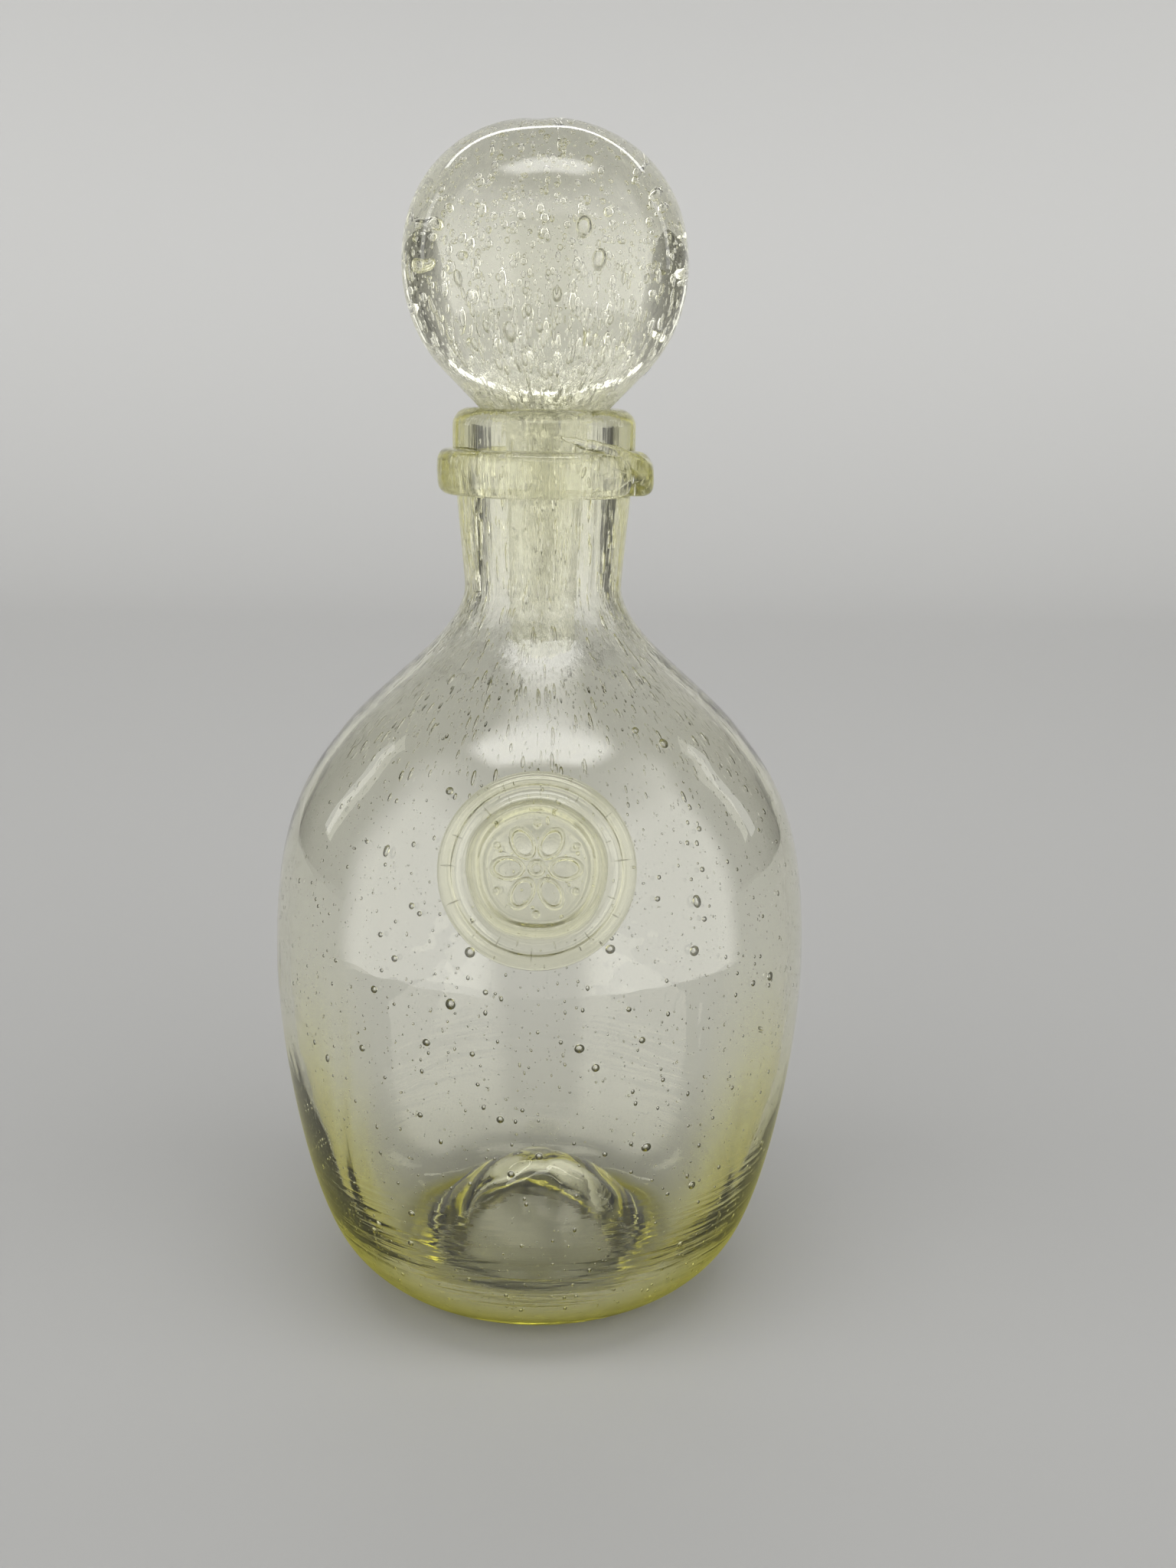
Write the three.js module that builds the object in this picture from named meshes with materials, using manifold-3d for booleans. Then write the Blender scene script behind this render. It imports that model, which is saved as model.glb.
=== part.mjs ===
// A free-blown bubble-glass carafe with a ball stopper, in millimetres, with +Z up.
// It stands on z = 0 and its axis is the Z axis. The seal is at the front, which is -Y.
// Angles round the axis are measured from the front, positive towards +X.
import * as THREE from "three";
import { mergeVertices } from "three/addons/utils/BufferGeometryUtils.js";
import Module from "manifold-3d";

const CLEARANCE = 0.3; // gap between pieces that rest on or wrap each other

// Bottle, outside, from the table up
const FOOT_RADIUS = 25; // outer edge of the narrow flat ring that it stands on
const HEEL_RADIUS = 28.5; // rounding from the foot into the side
const HEEL_SWEEP = 64; // degrees of that rounding
const BELLY_RADIUS = 62.8; // widest place
const BELLY_HEIGHT = 80.5;
const SHOULDER_RADIUS = 46.3; // where the shoulder turns from bulging out to sweeping in
const SHOULDER_RISE = 55.8; // above the widest place
const SHOULDER_SLOPE = 52.2; // degrees from level
const NECK_RADIUS = 18; // narrowest place
const NECK_RISE = 34.3; // above the shoulder
const COLLAR_RISE = 29.4; // from the narrowest place up to where the flare of the neck ends
const LIP_RADIUS = 20.6;
const LIP_RISE = 9.4; // above the flare
const LIP_ROUNDING = 4;

// How far each curve keeps its starting and ending direction, as shares of its height
const LOWER_SIDE_PULL = [0.264, 0.24];
const UPPER_SIDE_PULL = [0.645, 0.25];
const SWEEP_PULL = [0.41, 0.33];

// Bottle, inside
const BORE_RADIUS = 13.7;
const MOUTH_ROUNDING = 2.5;
const SHOULDER_WALL = 3.6;
const BELLY_WALL = 3.2;
const LEAST_WALL = 2.8; // between the belly and the base, where the inside curves by itself
const BASE_THICKNESS = 7; // under the lowest place inside, which runs round the kick
const BASE_RING_RADIUS = 33; // of that lowest place
const LOWER_INSIDE_PULL = [0.52, 0.17];

// Kick: the dome pushed up into the base while the glass was soft
const KICK_RADIUS = 20.2; // its mouth, inside the foot
const KICK_HEIGHT = 21.5;
const KICK_WALL = 5;
const KICK_EDGE_ROUNDING = 1.6;
const KICK_CROWN_SPREAD = 0.6; // share of the mouth over which its top stays level
const KICK_FLARE = [0.86, 0.42]; // shares of its radius and height where its side turns down
const KICK_INSIDE_PULL = [0.45, 0.95];

// Stopper
const BALL_RADIUS = 31.6;
const CROWN_HEIGHT = 30.8; // of the ball above its widest place
const CROWN_FULLNESS = 2.19; // 2 is an ellipse, and more is squarer
const TAPER_ANGLE = 45; // degrees from the axis, where the ball runs down into the mouth
const SHANK_TOP_RADIUS = 9;
const SHANK_END_RADIUS = 7.5;
const SHANK_REACH = 57; // from the top of the lip down to the end of the shank
const SHANK_ROOT_ROUNDING = 6;
const SHANK_END_ROUNDING = 5.5;

// Trail: the band of glass wound once round the neck and lapped over its own start
const TRAIL_DROP = 14; // from the top of the lip down to the middle of the band
const TRAIL_OUTER_RADIUS = 24.3;
const TRAIL_HALF_HEIGHT = 5.1;
const TRAIL_SQUARENESS = 3.4; // 2 is an oval section, and more is squarer
const TRAIL_START = 57; // degrees
const TRAIL_SEAT_DEPTH = 2; // how far the wound band is laid into the neck before its seat is cut
const TRAIL_SPLIT = 180; // degrees wound where the band's two stretches are joined

// The wound band from its start: degrees wound, rise of its middle, share of its full
// half height, and how far its outer face stands beyond the full radius
const TRAIL_STATIONS = [
  [0, 0, 0.55, -1.2],
  [4, 0, 0.9, -0.3],
  [14, 0, 1, 0],
  [285, 0, 1, 0],
  [317, -0.3, 0.95, 0.2],
  [337, -0.9, 0.84, 0.6],
  [360, 2.2, 0.62, 0.3],
  [374, 5, 0.34, -0.7],
  [391, 6.6, 0.24, -1.6],
  [403, 7.7, 0.14, -2.4],
  [407, 8.2, 0.06, -2.8],
];

// Seal: the pad of glass pressed onto the front of the shoulder with a round stamp
const SEAL_RADIUS = 20.5;
const SEAL_HEIGHT = 118.5; // of its middle
const SEAL_TURN = -0.9; // degrees
const SEAL_FLANGE_THICKNESS = 1.8;
const SEAL_FLANGE_CROWN = 57; // radius of the flange's domed front
const SEAL_EDGE_ROUNDING = 1.2;
const SEAL_RIM_RADIUS = 13.7; // outside of the raised rim
const SEAL_FIELD_RADIUS = 11.8; // flat left by the stamp
const SEAL_FIELD_HEIGHT = 1.3; // above the shoulder
const SEAL_RIM_HEIGHT = 1.1; // above the field
const SEAL_RIM_FOOT = 1.2; // how far the rim runs out over the flange
const SEAL_RIM_FOOT_HEIGHT = 0.3;
const SEAL_FLAT_EDGE = 1.6; // of the flange, before its edge rounds over
const SEAL_DEPTH = 12; // of the blank, before the shoulder's shape is cut out of its back

// Facets round each revolved piece
const BOTTLE_SEGMENTS = 60;
const STOPPER_SEGMENTS = 40;
const SEAL_SEGMENTS = 36;
const TRAIL_STEP = 8; // degrees between sections of the band
const TRAIL_SECTION_POINTS = 14;
const CROWN_STEPS = 10;

// Heights that follow from the sizes above
const SHOULDER_HEIGHT = BELLY_HEIGHT + SHOULDER_RISE;
const NECK_HEIGHT = SHOULDER_HEIGHT + NECK_RISE;
const COLLAR_HEIGHT = NECK_HEIGHT + COLLAR_RISE;
const LIP_HEIGHT = COLLAR_HEIGHT + LIP_RISE;
const TRAIL_HEIGHT = LIP_HEIGHT - TRAIL_DROP;

const point = (r, z) => new THREE.Vector2(r, z);
const radians = THREE.MathUtils.degToRad;
const heading = (degrees) => point(Math.cos(radians(degrees)), Math.sin(radians(degrees)));
const along = (start, direction, distance) => start.clone().addScaledVector(direction, distance);

// A curve that leaves one point and reaches the next in given directions. The pulls are
// how far it keeps to each, as shares of the height between the points.
function sweep(start, leaving, end, arriving, pulls) {
  const rise = Math.abs(end.y - start.y);
  const first = along(start, leaving, pulls[0] * rise);
  const second = along(end, arriving, -pulls[1] * rise);
  return new THREE.CubicBezierCurve(start, first, second, end);
}

// An arc that rounds the corner between two straight runs
function roundedCorner(before, corner, after, radius) {
  const back = before.clone().sub(corner).normalize();
  const ahead = after.clone().sub(corner).normalize();
  const halfAngle = Math.acos(back.dot(ahead)) / 2;
  const middle = back.clone().add(ahead).normalize();
  const centre = along(corner, middle, radius / Math.sin(halfAngle));
  const reach = radius / Math.tan(halfAngle);
  const from = along(corner, back, reach).sub(centre);
  const to = along(corner, ahead, reach).sub(centre);
  const clockwise = from.cross(to) < 0;
  return new THREE.EllipseCurve(centre.x, centre.y, radius, radius, from.angle(), to.angle(), clockwise);
}

// Joins points and [curve, divisions] pairs into one outline without doubled points
function outline(pieces) {
  const points = pieces.flatMap((piece) => (piece.isVector2 ? [piece] : piece[0].getPoints(piece[1])));
  return points.filter((p, i) => i === 0 || p.distanceTo(points[i - 1]) > 1e-6);
}

// Turns an outline of radius and height round the Z axis
function revolved(points, segments) {
  const geometry = new THREE.LatheGeometry(points, segments);
  geometry.rotateX(Math.PI / 2);
  return geometry;
}

const UP = heading(90);
const DOWN = heading(-90);
const INWARD = heading(180);
const beltPoint = point(BELLY_RADIUS, BELLY_HEIGHT);
const shoulderPoint = point(SHOULDER_RADIUS, SHOULDER_HEIGHT);
const shoulderDirection = heading(180 - SHOULDER_SLOPE);
const neckPoint = point(NECK_RADIUS, NECK_HEIGHT);
const collarPoint = point(LIP_RADIUS, COLLAR_HEIGHT);
const neckDirection = collarPoint.clone().sub(neckPoint).normalize();

// Outside of the bottle from the edge of the foot up to the end of the neck's flare
function outerSide() {
  const heel = new THREE.EllipseCurve(
    FOOT_RADIUS, HEEL_RADIUS, HEEL_RADIUS, HEEL_RADIUS, -Math.PI / 2, radians(HEEL_SWEEP - 90), false,
  );
  const heelEnd = heel.getPoint(1);
  return outline([
    [heel, 6],
    [sweep(heelEnd, heading(HEEL_SWEEP), beltPoint, UP, LOWER_SIDE_PULL), 8],
    [sweep(beltPoint, UP, shoulderPoint, shoulderDirection, UPPER_SIDE_PULL), 9],
    [sweep(shoulderPoint, shoulderDirection, neckPoint, neckDirection, SWEEP_PULL), 7],
    collarPoint,
  ]);
}

// Underside from the top of the kick out to the foot
function underside() {
  const kickTop = point(0, KICK_HEIGHT);
  const kickEdge = point(KICK_RADIUS, KICK_EDGE_ROUNDING);
  const edge = roundedCorner(
    point(KICK_RADIUS, KICK_HEIGHT), point(KICK_RADIUS, 0), point(FOOT_RADIUS, 0), KICK_EDGE_ROUNDING,
  );
  return outline([
    [new THREE.CubicBezierCurve(
      kickTop,
      point(KICK_RADIUS * KICK_CROWN_SPREAD, KICK_HEIGHT),
      point(KICK_RADIUS * KICK_FLARE[0], KICK_HEIGHT * KICK_FLARE[1]),
      kickEdge,
    ), 6],
    [edge, 3],
    point(FOOT_RADIUS, 0),
  ]);
}

// The lip, over its top and down into the bore
function lipAndMouth() {
  const outside = point(LIP_RADIUS, LIP_HEIGHT);
  const inside = point(BORE_RADIUS, LIP_HEIGHT);
  return outline([
    [roundedCorner(collarPoint, outside, inside, LIP_ROUNDING), 4],
    [roundedCorner(outside, inside, point(BORE_RADIUS, NECK_HEIGHT), MOUTH_ROUNDING), 4],
  ]);
}

// Radius of the outside at a height below the widest place
function sideRadius(height) {
  const next = Math.max(1, side.findIndex((p) => p.y >= height));
  const [below, above] = [side[next - 1], side[next]];
  return THREE.MathUtils.mapLinear(height, below.y, above.y, below.x, above.x);
}

// Inside of the bottle from the bore down to the top of the kick
function innerSide() {
  const boreEnd = point(BORE_RADIUS, NECK_HEIGHT);
  const inwardNormal = shoulderDirection.clone().rotateAround(point(0, 0), Math.PI / 2);
  const shoulderInside = along(shoulderPoint, inwardNormal, SHOULDER_WALL);
  const beltInside = point(BELLY_RADIUS - BELLY_WALL, BELLY_HEIGHT);
  const lowest = point(BASE_RING_RADIUS, BASE_THICKNESS);
  const kickTop = point(0, KICK_HEIGHT + KICK_WALL);
  const downShoulder = shoulderDirection.clone().negate();
  const lowerInside = sweep(beltInside, DOWN, lowest, INWARD, LOWER_INSIDE_PULL).getPoints(8);
  return outline([
    [sweep(boreEnd, DOWN, shoulderInside, downShoulder, [SWEEP_PULL[1], SWEEP_PULL[0]]), 6],
    [sweep(shoulderInside, downShoulder, beltInside, DOWN, [UPPER_SIDE_PULL[1], UPPER_SIDE_PULL[0]]), 8],
    ...lowerInside.map((p) => point(Math.min(p.x, sideRadius(p.y) - LEAST_WALL), p.y)),
    [sweep(lowest, INWARD, kickTop, INWARD, KICK_INSIDE_PULL), 7],
  ]);
}

const side = outerSide();

function bottleGeometry() {
  return revolved(outline([...underside(), ...side, ...lipAndMouth(), ...innerSide()]), BOTTLE_SEGMENTS);
}

// The bottle's outside, grown by the clearance and closed to a solid, for cutting seats
function grownBottle() {
  const grown = side.map((p, i) => {
    const before = side[Math.max(i - 1, 0)];
    const after = side[Math.min(i + 1, side.length - 1)];
    const tangent = after.clone().sub(before).normalize();
    return point(p.x + tangent.y * CLEARANCE, p.y - tangent.x * CLEARANCE);
  });
  const lip = point(LIP_RADIUS + CLEARANCE, LIP_HEIGHT);
  const foot = point(0, -CLEARANCE);
  return revolved(outline([foot, ...grown, lip, point(0, LIP_HEIGHT)]), BOTTLE_SEGMENTS);
}

// Apex of the stopper's taper: the cone keeps the clearance from the rounded mouth
function taperApex() {
  const angle = radians(TAPER_ANGLE);
  const mouth = point(BORE_RADIUS + MOUTH_ROUNDING, LIP_HEIGHT - MOUTH_ROUNDING);
  const offset = MOUTH_ROUNDING + CLEARANCE;
  return mouth.y - (mouth.x * Math.cos(angle) - offset) / Math.sin(angle);
}

// Ball, taper and shank in one outline from the top of the ball down
function stopperGeometry() {
  const taper = radians(TAPER_ANGLE);
  const apex = taperApex();
  const ballHeight = apex + BALL_RADIUS / Math.sin(taper);
  const crown = [];
  for (let i = 0; i <= CROWN_STEPS; i += 1) {
    const turn = (Math.PI / 2) * (1 - i / CROWN_STEPS);
    const out = Math.pow(Math.cos(turn), 2 / CROWN_FULLNESS);
    const up = Math.pow(Math.sin(turn), 2 / CROWN_FULLNESS);
    crown.push(point(i === 0 ? 0 : BALL_RADIUS * out, ballHeight + CROWN_HEIGHT * up));
  }
  const lowerBall = new THREE.EllipseCurve(0, ballHeight, BALL_RADIUS, BALL_RADIUS, 0, -taper, true);
  const root = point(SHANK_TOP_RADIUS, apex + SHANK_TOP_RADIUS / Math.tan(taper));
  const end = point(SHANK_END_RADIUS, LIP_HEIGHT - SHANK_REACH);
  const bottom = point(0, end.y);
  return revolved(
    outline([
      ...crown,
      [lowerBall, 6],
      [roundedCorner(lowerBall.getPoint(1), root, end, SHANK_ROOT_ROUNDING), 4],
      [roundedCorner(root, end, bottom, SHANK_END_ROUNDING), 5],
      bottom,
    ]).reverse(),
    STOPPER_SEGMENTS,
  );
}

// The band's middle, half height and outer radius after so many degrees of winding
function trailStation(wound) {
  const last = TRAIL_STATIONS.length - 1;
  const next = Math.min(last, Math.max(1, TRAIL_STATIONS.findIndex((s) => s[0] >= wound)));
  const [a, b] = [TRAIL_STATIONS[next - 1], TRAIL_STATIONS[next]];
  const share = THREE.MathUtils.smoothstep(wound, a[0], b[0]);
  const [rise, height, stand] = [1, 2, 3].map((k) => THREE.MathUtils.lerp(a[k], b[k], share));
  return {
    middle: TRAIL_HEIGHT + rise,
    halfHeight: TRAIL_HALF_HEIGHT * height,
    outer: TRAIL_OUTER_RADIUS + stand,
  };
}

// One stretch of the wound band: rounded sections joined into a closed body
function trailStretch(fromWound, toWound) {
  const steps = Math.ceil((toWound - fromWound) / TRAIL_STEP);
  const positions = [];
  const faces = [];
  const inner = NECK_RADIUS - TRAIL_SEAT_DEPTH;
  const addVertex = (angle, r, z) => {
    positions.push(r * Math.sin(angle), -r * Math.cos(angle), z);
    return positions.length / 3 - 1;
  };
  const capCentres = [];
  const squarer = (v) => Math.sign(v) * Math.pow(Math.abs(v), 2 / TRAIL_SQUARENESS);
  for (let i = 0; i <= steps; i += 1) {
    const wound = THREE.MathUtils.lerp(fromWound, toWound, i / steps);
    const station = trailStation(wound);
    const angle = radians(TRAIL_START - wound);
    const middle = (inner + station.outer) / 2;
    const half = (station.outer - inner) / 2;
    for (let k = 0; k < TRAIL_SECTION_POINTS; k += 1) {
      const turn = (2 * Math.PI * k) / TRAIL_SECTION_POINTS;
      const out = half * squarer(Math.cos(turn));
      const up = station.halfHeight * squarer(Math.sin(turn));
      addVertex(angle, middle + out, station.middle + up);
    }
    if (i === 0 || i === steps) capCentres.push([angle, middle, station.middle]);
  }
  for (let i = 0; i < steps; i += 1) {
    for (let k = 0; k < TRAIL_SECTION_POINTS; k += 1) {
      const across = (k + 1) % TRAIL_SECTION_POINTS;
      const [a, b] = [i * TRAIL_SECTION_POINTS + k, i * TRAIL_SECTION_POINTS + across];
      const [c, d] = [a + TRAIL_SECTION_POINTS, b + TRAIL_SECTION_POINTS];
      faces.push(a, b, c, b, d, c);
    }
  }
  const [first, last] = capCentres.map((centre) => addVertex(...centre));
  const lastRing = steps * TRAIL_SECTION_POINTS;
  for (let k = 0; k < TRAIL_SECTION_POINTS; k += 1) {
    const across = (k + 1) % TRAIL_SECTION_POINTS;
    faces.push(first, across, k, last, lastRing + k, lastRing + across);
  }
  const geometry = new THREE.BufferGeometry();
  geometry.setAttribute("position", new THREE.Float32BufferAttribute(positions, 3));
  geometry.setIndex(faces);
  return geometry;
}

// Round blank of the seal along +Z, with the stamped field, the rim and the domed flange
function sealBlank() {
  const flangeTop = (r) =>
    SEAL_FLANGE_THICKNESS - SEAL_FLANGE_CROWN + Math.sqrt(SEAL_FLANGE_CROWN ** 2 - r ** 2);
  const rimTop = SEAL_FIELD_HEIGHT + SEAL_RIM_HEIGHT;
  const rimMiddle = (SEAL_FIELD_RADIUS + SEAL_RIM_RADIUS) / 2;
  const rimFoot = SEAL_RIM_RADIUS + SEAL_RIM_FOOT;
  const rim = new THREE.CubicBezierCurve(
    point(rimMiddle, rimTop),
    point(SEAL_RIM_RADIUS, rimTop),
    point(SEAL_RIM_RADIUS, flangeTop(SEAL_RIM_RADIUS) + SEAL_RIM_FOOT_HEIGHT),
    point(rimFoot, flangeTop(rimFoot)),
  );
  const innerRim = new THREE.QuadraticBezierCurve(
    point(SEAL_FIELD_RADIUS, SEAL_FIELD_HEIGHT),
    point(SEAL_FIELD_RADIUS, rimTop),
    point(rimMiddle, rimTop),
  );
  const edgeStart = SEAL_RADIUS - SEAL_EDGE_ROUNDING;
  const flatEnd = edgeStart - SEAL_FLAT_EDGE;
  const edge = new THREE.EllipseCurve(
    edgeStart, flangeTop(edgeStart) - SEAL_EDGE_ROUNDING, SEAL_EDGE_ROUNDING, SEAL_EDGE_ROUNDING,
    Math.PI / 2, 0, true,
  );
  const profile = outline([
    point(0, SEAL_FIELD_HEIGHT),
    [innerRim, 3],
    [rim, 5],
    point(flatEnd, flangeTop(flatEnd)),
    [edge, 3],
    point(SEAL_RADIUS, -SEAL_DEPTH),
    point(0, -SEAL_DEPTH),
  ]);
  return revolved(profile.reverse(), SEAL_SEGMENTS);
}

// Where the middle of the seal lies on the shoulder, and how the wall leans there
function sealSeat() {
  const next = side.findIndex((p) => p.y > SEAL_HEIGHT && p.x < BELLY_RADIUS);
  const [below, above] = [side[next - 1], side[next]];
  const share = (SEAL_HEIGHT - below.y) / (above.y - below.y);
  const lean = Math.atan2(below.x - above.x, above.y - below.y);
  return { radius: THREE.MathUtils.lerp(below.x, above.x, share), lean };
}

const wasm = await Module();
wasm.setup();

// A closed geometry as a solid that can be joined and cut
function solidFrom(geometry) {
  const bare = geometry.clone();
  bare.deleteAttribute("normal");
  bare.deleteAttribute("uv");
  const merged = mergeVertices(bare, 1e-4);
  return new wasm.Manifold(
    new wasm.Mesh({
      numProp: 3,
      vertProperties: new Float32Array(merged.attributes.position.array),
      triVerts: new Uint32Array(merged.index.array),
    }),
  );
}

function geometryFrom(solid) {
  const mesh = solid.getMesh();
  const geometry = new THREE.BufferGeometry();
  geometry.setAttribute("position", new THREE.BufferAttribute(mesh.vertProperties, 3));
  geometry.setIndex(new THREE.BufferAttribute(mesh.triVerts, 1));
  geometry.computeVertexNormals();
  return geometry;
}

// The band is two stretches joined where the second laps over the first, with the neck
// cut out of its inside
function trailGeometry() {
  const fullTurn = TRAIL_STATIONS.at(-1)[0];
  const first = solidFrom(trailStretch(0, TRAIL_SPLIT));
  const second = solidFrom(trailStretch(TRAIL_SPLIT - TRAIL_STEP, fullTurn));
  return geometryFrom(first.add(second).subtract(solidFrom(grownBottle())));
}

function sealGeometry() {
  const seat = sealSeat();
  const turn = radians(SEAL_TURN);
  const place = new THREE.Matrix4()
    .makeRotationZ(turn)
    .multiply(new THREE.Matrix4().makeTranslation(0, -seat.radius, SEAL_HEIGHT))
    .multiply(new THREE.Matrix4().makeRotationX(Math.PI / 2 - seat.lean));
  const blank = sealBlank().applyMatrix4(place);
  return geometryFrom(solidFrom(blank).subtract(solidFrom(grownBottle())));
}

// Pale yellow-green glass, a little deeper where it is worked thick
function glass(colour) {
  return new THREE.MeshStandardMaterial({
    color: colour,
    roughness: 0.05,
    metalness: 0,
    transparent: true,
    opacity: 0.4,
    side: THREE.DoubleSide,
  });
}

function piece(name, geometry, colour) {
  const mesh = new THREE.Mesh(geometry, glass(colour));
  mesh.name = name;
  return mesh;
}

const bottle = new THREE.Group();
bottle.add(piece("bottle", bottleGeometry(), 0xdfe3c4));
bottle.add(piece("neck_ring", trailGeometry(), 0xd6dba6));
bottle.add(piece("seal", sealGeometry(), 0xd9ddb4));

const carafe = new THREE.Group();
carafe.add(bottle);
carafe.add(piece("stopper", stopperGeometry(), 0xe2e6cf));

export default carafe;
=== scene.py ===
# %% [markdown]
# A free-blown carafe of bubble glass: an egg-shaped body with a kicked-up base, a band of glass
# wound round the neck, a round seal pressed onto the shoulder and a ball stopper that lifts out.
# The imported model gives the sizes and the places. This lesson makes the fine glass over it: the
# smooth blown surfaces with their slight unevenness, the tint that deepens where the glass is
# thick, and the bubbles, which are what the eye sees most.

# %% Frame
import math

import bpy
import numpy as np
from mathutils import Matrix, Vector


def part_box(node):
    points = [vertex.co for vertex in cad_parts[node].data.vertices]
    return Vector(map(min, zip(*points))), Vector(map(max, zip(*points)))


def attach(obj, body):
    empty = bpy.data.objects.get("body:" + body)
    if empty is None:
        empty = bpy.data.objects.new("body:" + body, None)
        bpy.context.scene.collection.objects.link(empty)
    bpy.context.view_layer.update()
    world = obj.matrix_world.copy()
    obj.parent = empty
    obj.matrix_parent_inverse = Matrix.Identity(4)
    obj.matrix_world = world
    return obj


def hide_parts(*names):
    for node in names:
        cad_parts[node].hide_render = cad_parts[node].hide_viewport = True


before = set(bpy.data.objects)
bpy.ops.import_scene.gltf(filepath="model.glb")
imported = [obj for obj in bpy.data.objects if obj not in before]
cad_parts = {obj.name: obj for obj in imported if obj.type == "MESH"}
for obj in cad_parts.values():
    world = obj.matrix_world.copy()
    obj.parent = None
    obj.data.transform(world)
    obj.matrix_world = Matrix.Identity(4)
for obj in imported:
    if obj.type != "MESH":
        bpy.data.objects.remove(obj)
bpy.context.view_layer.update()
MM = 0.001
bottle_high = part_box("bottle")[1]
stopper_low, stopper_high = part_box("stopper")
LIP_HEIGHT = bottle_high.z
BELLY_RADIUS = bottle_high.x
BALL_RADIUS = stopper_high.x
SHANK_END_HEIGHT = stopper_low.z
print("lip", round(LIP_HEIGHT, 4), "belly", round(BELLY_RADIUS, 4), "ball", round(BALL_RADIUS, 4))

# %% [markdown]
# The camera comes first, because some bubbles are placed by where they are in the photograph.
# A lens is known by its focal length in pixels, and Blender wants it in millimetres on a sensor
# of 36 mm, so one is scaled to the other by the long side of the picture. The camera stands close
# and looks down a little, which is why the foot shows as a wide ellipse and the lip as a flat one.

# %% Camera
PHOTO_WIDTH = 1536
PHOTO_HEIGHT = 2048
FOCAL_PIXELS = 2185
HORIZON_ROW = 500
AXIS_COLUMN = 706
SENSOR = 36
CAMERA_DISTANCE = 385 * MM
CAMERA_HEIGHT = 215 * MM
CAMERA_ROLL = math.radians(0.79)
camera_pitch = math.atan((PHOTO_HEIGHT / 2 - HORIZON_ROW) / FOCAL_PIXELS)
camera_yaw = math.atan((AXIS_COLUMN - PHOTO_WIDTH / 2) / FOCAL_PIXELS)
camera_turn = (
    Matrix.Rotation(camera_yaw, 4, "Z")
    @ Matrix.Rotation(math.pi / 2 - camera_pitch, 4, "X")
    @ Matrix.Rotation(CAMERA_ROLL, 4, "Z")
)
camera = bpy.data.objects.new("camera", bpy.data.cameras.new("camera"))
camera.data.sensor_width = SENSOR
camera.data.lens = SENSOR * FOCAL_PIXELS / PHOTO_HEIGHT
camera.data.clip_start = 0.01
camera.data.clip_end = 100
camera.matrix_world = Matrix.Translation((0, -CAMERA_DISTANCE, CAMERA_HEIGHT)) @ camera_turn
bpy.context.scene.collection.objects.link(camera)
bpy.context.scene.camera = camera


def sight_line(column, row):
    """Start and direction of the ray that reaches a pixel of the photograph."""
    local = Vector((column - PHOTO_WIDTH / 2, PHOTO_HEIGHT / 2 - row, -FOCAL_PIXELS))
    direction = (camera_turn.to_3x3() @ local).normalized()
    return np.array(camera.matrix_world.translation), np.array(direction)


print("lens", round(camera.data.lens, 2), "mm, pitch", round(math.degrees(camera_pitch), 2))

# %% [markdown]
# Nearly every piece here is turned: one outline of radius and height is swept round the axis.
# The outlines are made from arcs and Bezier curves, as a glass designer draws them, and are then
# divided evenly by length, so that the facets are of one size and the reflections stay smooth.

# %% Outlines
def heading(degrees):
    return np.array([math.cos(math.radians(degrees)), math.sin(math.radians(degrees))])


def unit(vector):
    return vector / np.linalg.norm(vector)


def arc(centre, radius, start, end, count=40):
    turns = np.radians(np.linspace(start, end, count))
    return np.asarray(centre) + radius * np.stack([np.cos(turns), np.sin(turns)], 1)


def bezier(start, first, second, end, count=80):
    t = np.linspace(0, 1, count)[:, None]
    left = 1 - t
    return left**3 * start + 3 * left**2 * t * first + 3 * left * t**2 * second + t**3 * end


def sweep(start, leaving, end, arriving, pulls):
    """A curve with given directions at both ends. Pulls are shares of the height between them."""
    rise = abs(end[1] - start[1])
    return bezier(start, start + leaving * pulls[0] * rise, end - arriving * pulls[1] * rise, end)


def rounded_corner(before, corner, after, radius):
    """The arc that rounds a corner between two straight lines, as a fillet does."""
    back = unit(before - corner)
    ahead = unit(after - corner)
    half = math.acos(np.dot(back, ahead)) / 2
    centre = corner + unit(back + ahead) * radius / math.sin(half)
    leave = corner + back * radius / math.tan(half) - centre
    reach = corner + ahead * radius / math.tan(half) - centre
    start = math.degrees(math.atan2(leave[1], leave[0]))
    turn = math.degrees(math.atan2(reach[1], reach[0])) - start
    turn = (turn + 180) % 360 - 180
    return arc(centre, radius, start, start + turn)


def divided(points, spacing):
    """The same line with its points set evenly, about so far apart."""
    points = np.asarray(points, float)
    steps = np.linalg.norm(np.diff(points, axis=0), axis=1)
    reached = np.concatenate([[0], np.cumsum(steps)])
    wanted = np.linspace(0, reached[-1], max(2, round(reached[-1] / spacing) + 1))
    return np.stack([np.interp(wanted, reached, points[:, k]) for k in (0, 1)], 1)


SAME_POINT = 1e-7


def joined(*lines):
    """One line from several, without the points that meet where they join."""
    points = np.vstack(lines)
    steps = np.linalg.norm(np.diff(points, axis=0), axis=1)
    return points[np.concatenate([[True], steps > SAME_POINT])]


def outward(outline):
    """Directions that point out of the glass, for an outline that keeps the glass on its left."""
    tangent = np.gradient(outline, axis=0)
    tangent /= np.linalg.norm(tangent, axis=1)[:, None]
    return np.stack([tangent[:, 1], -tangent[:, 0]], 1)


# %% [markdown]
# Blown glass is never quite true. Its unevenness is a sum of a few slow waves, each with a whole
# number of turns round the axis so that it closes on itself. Waves cost nothing and have no seam,
# where a noise texture on the mesh would show one.

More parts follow.
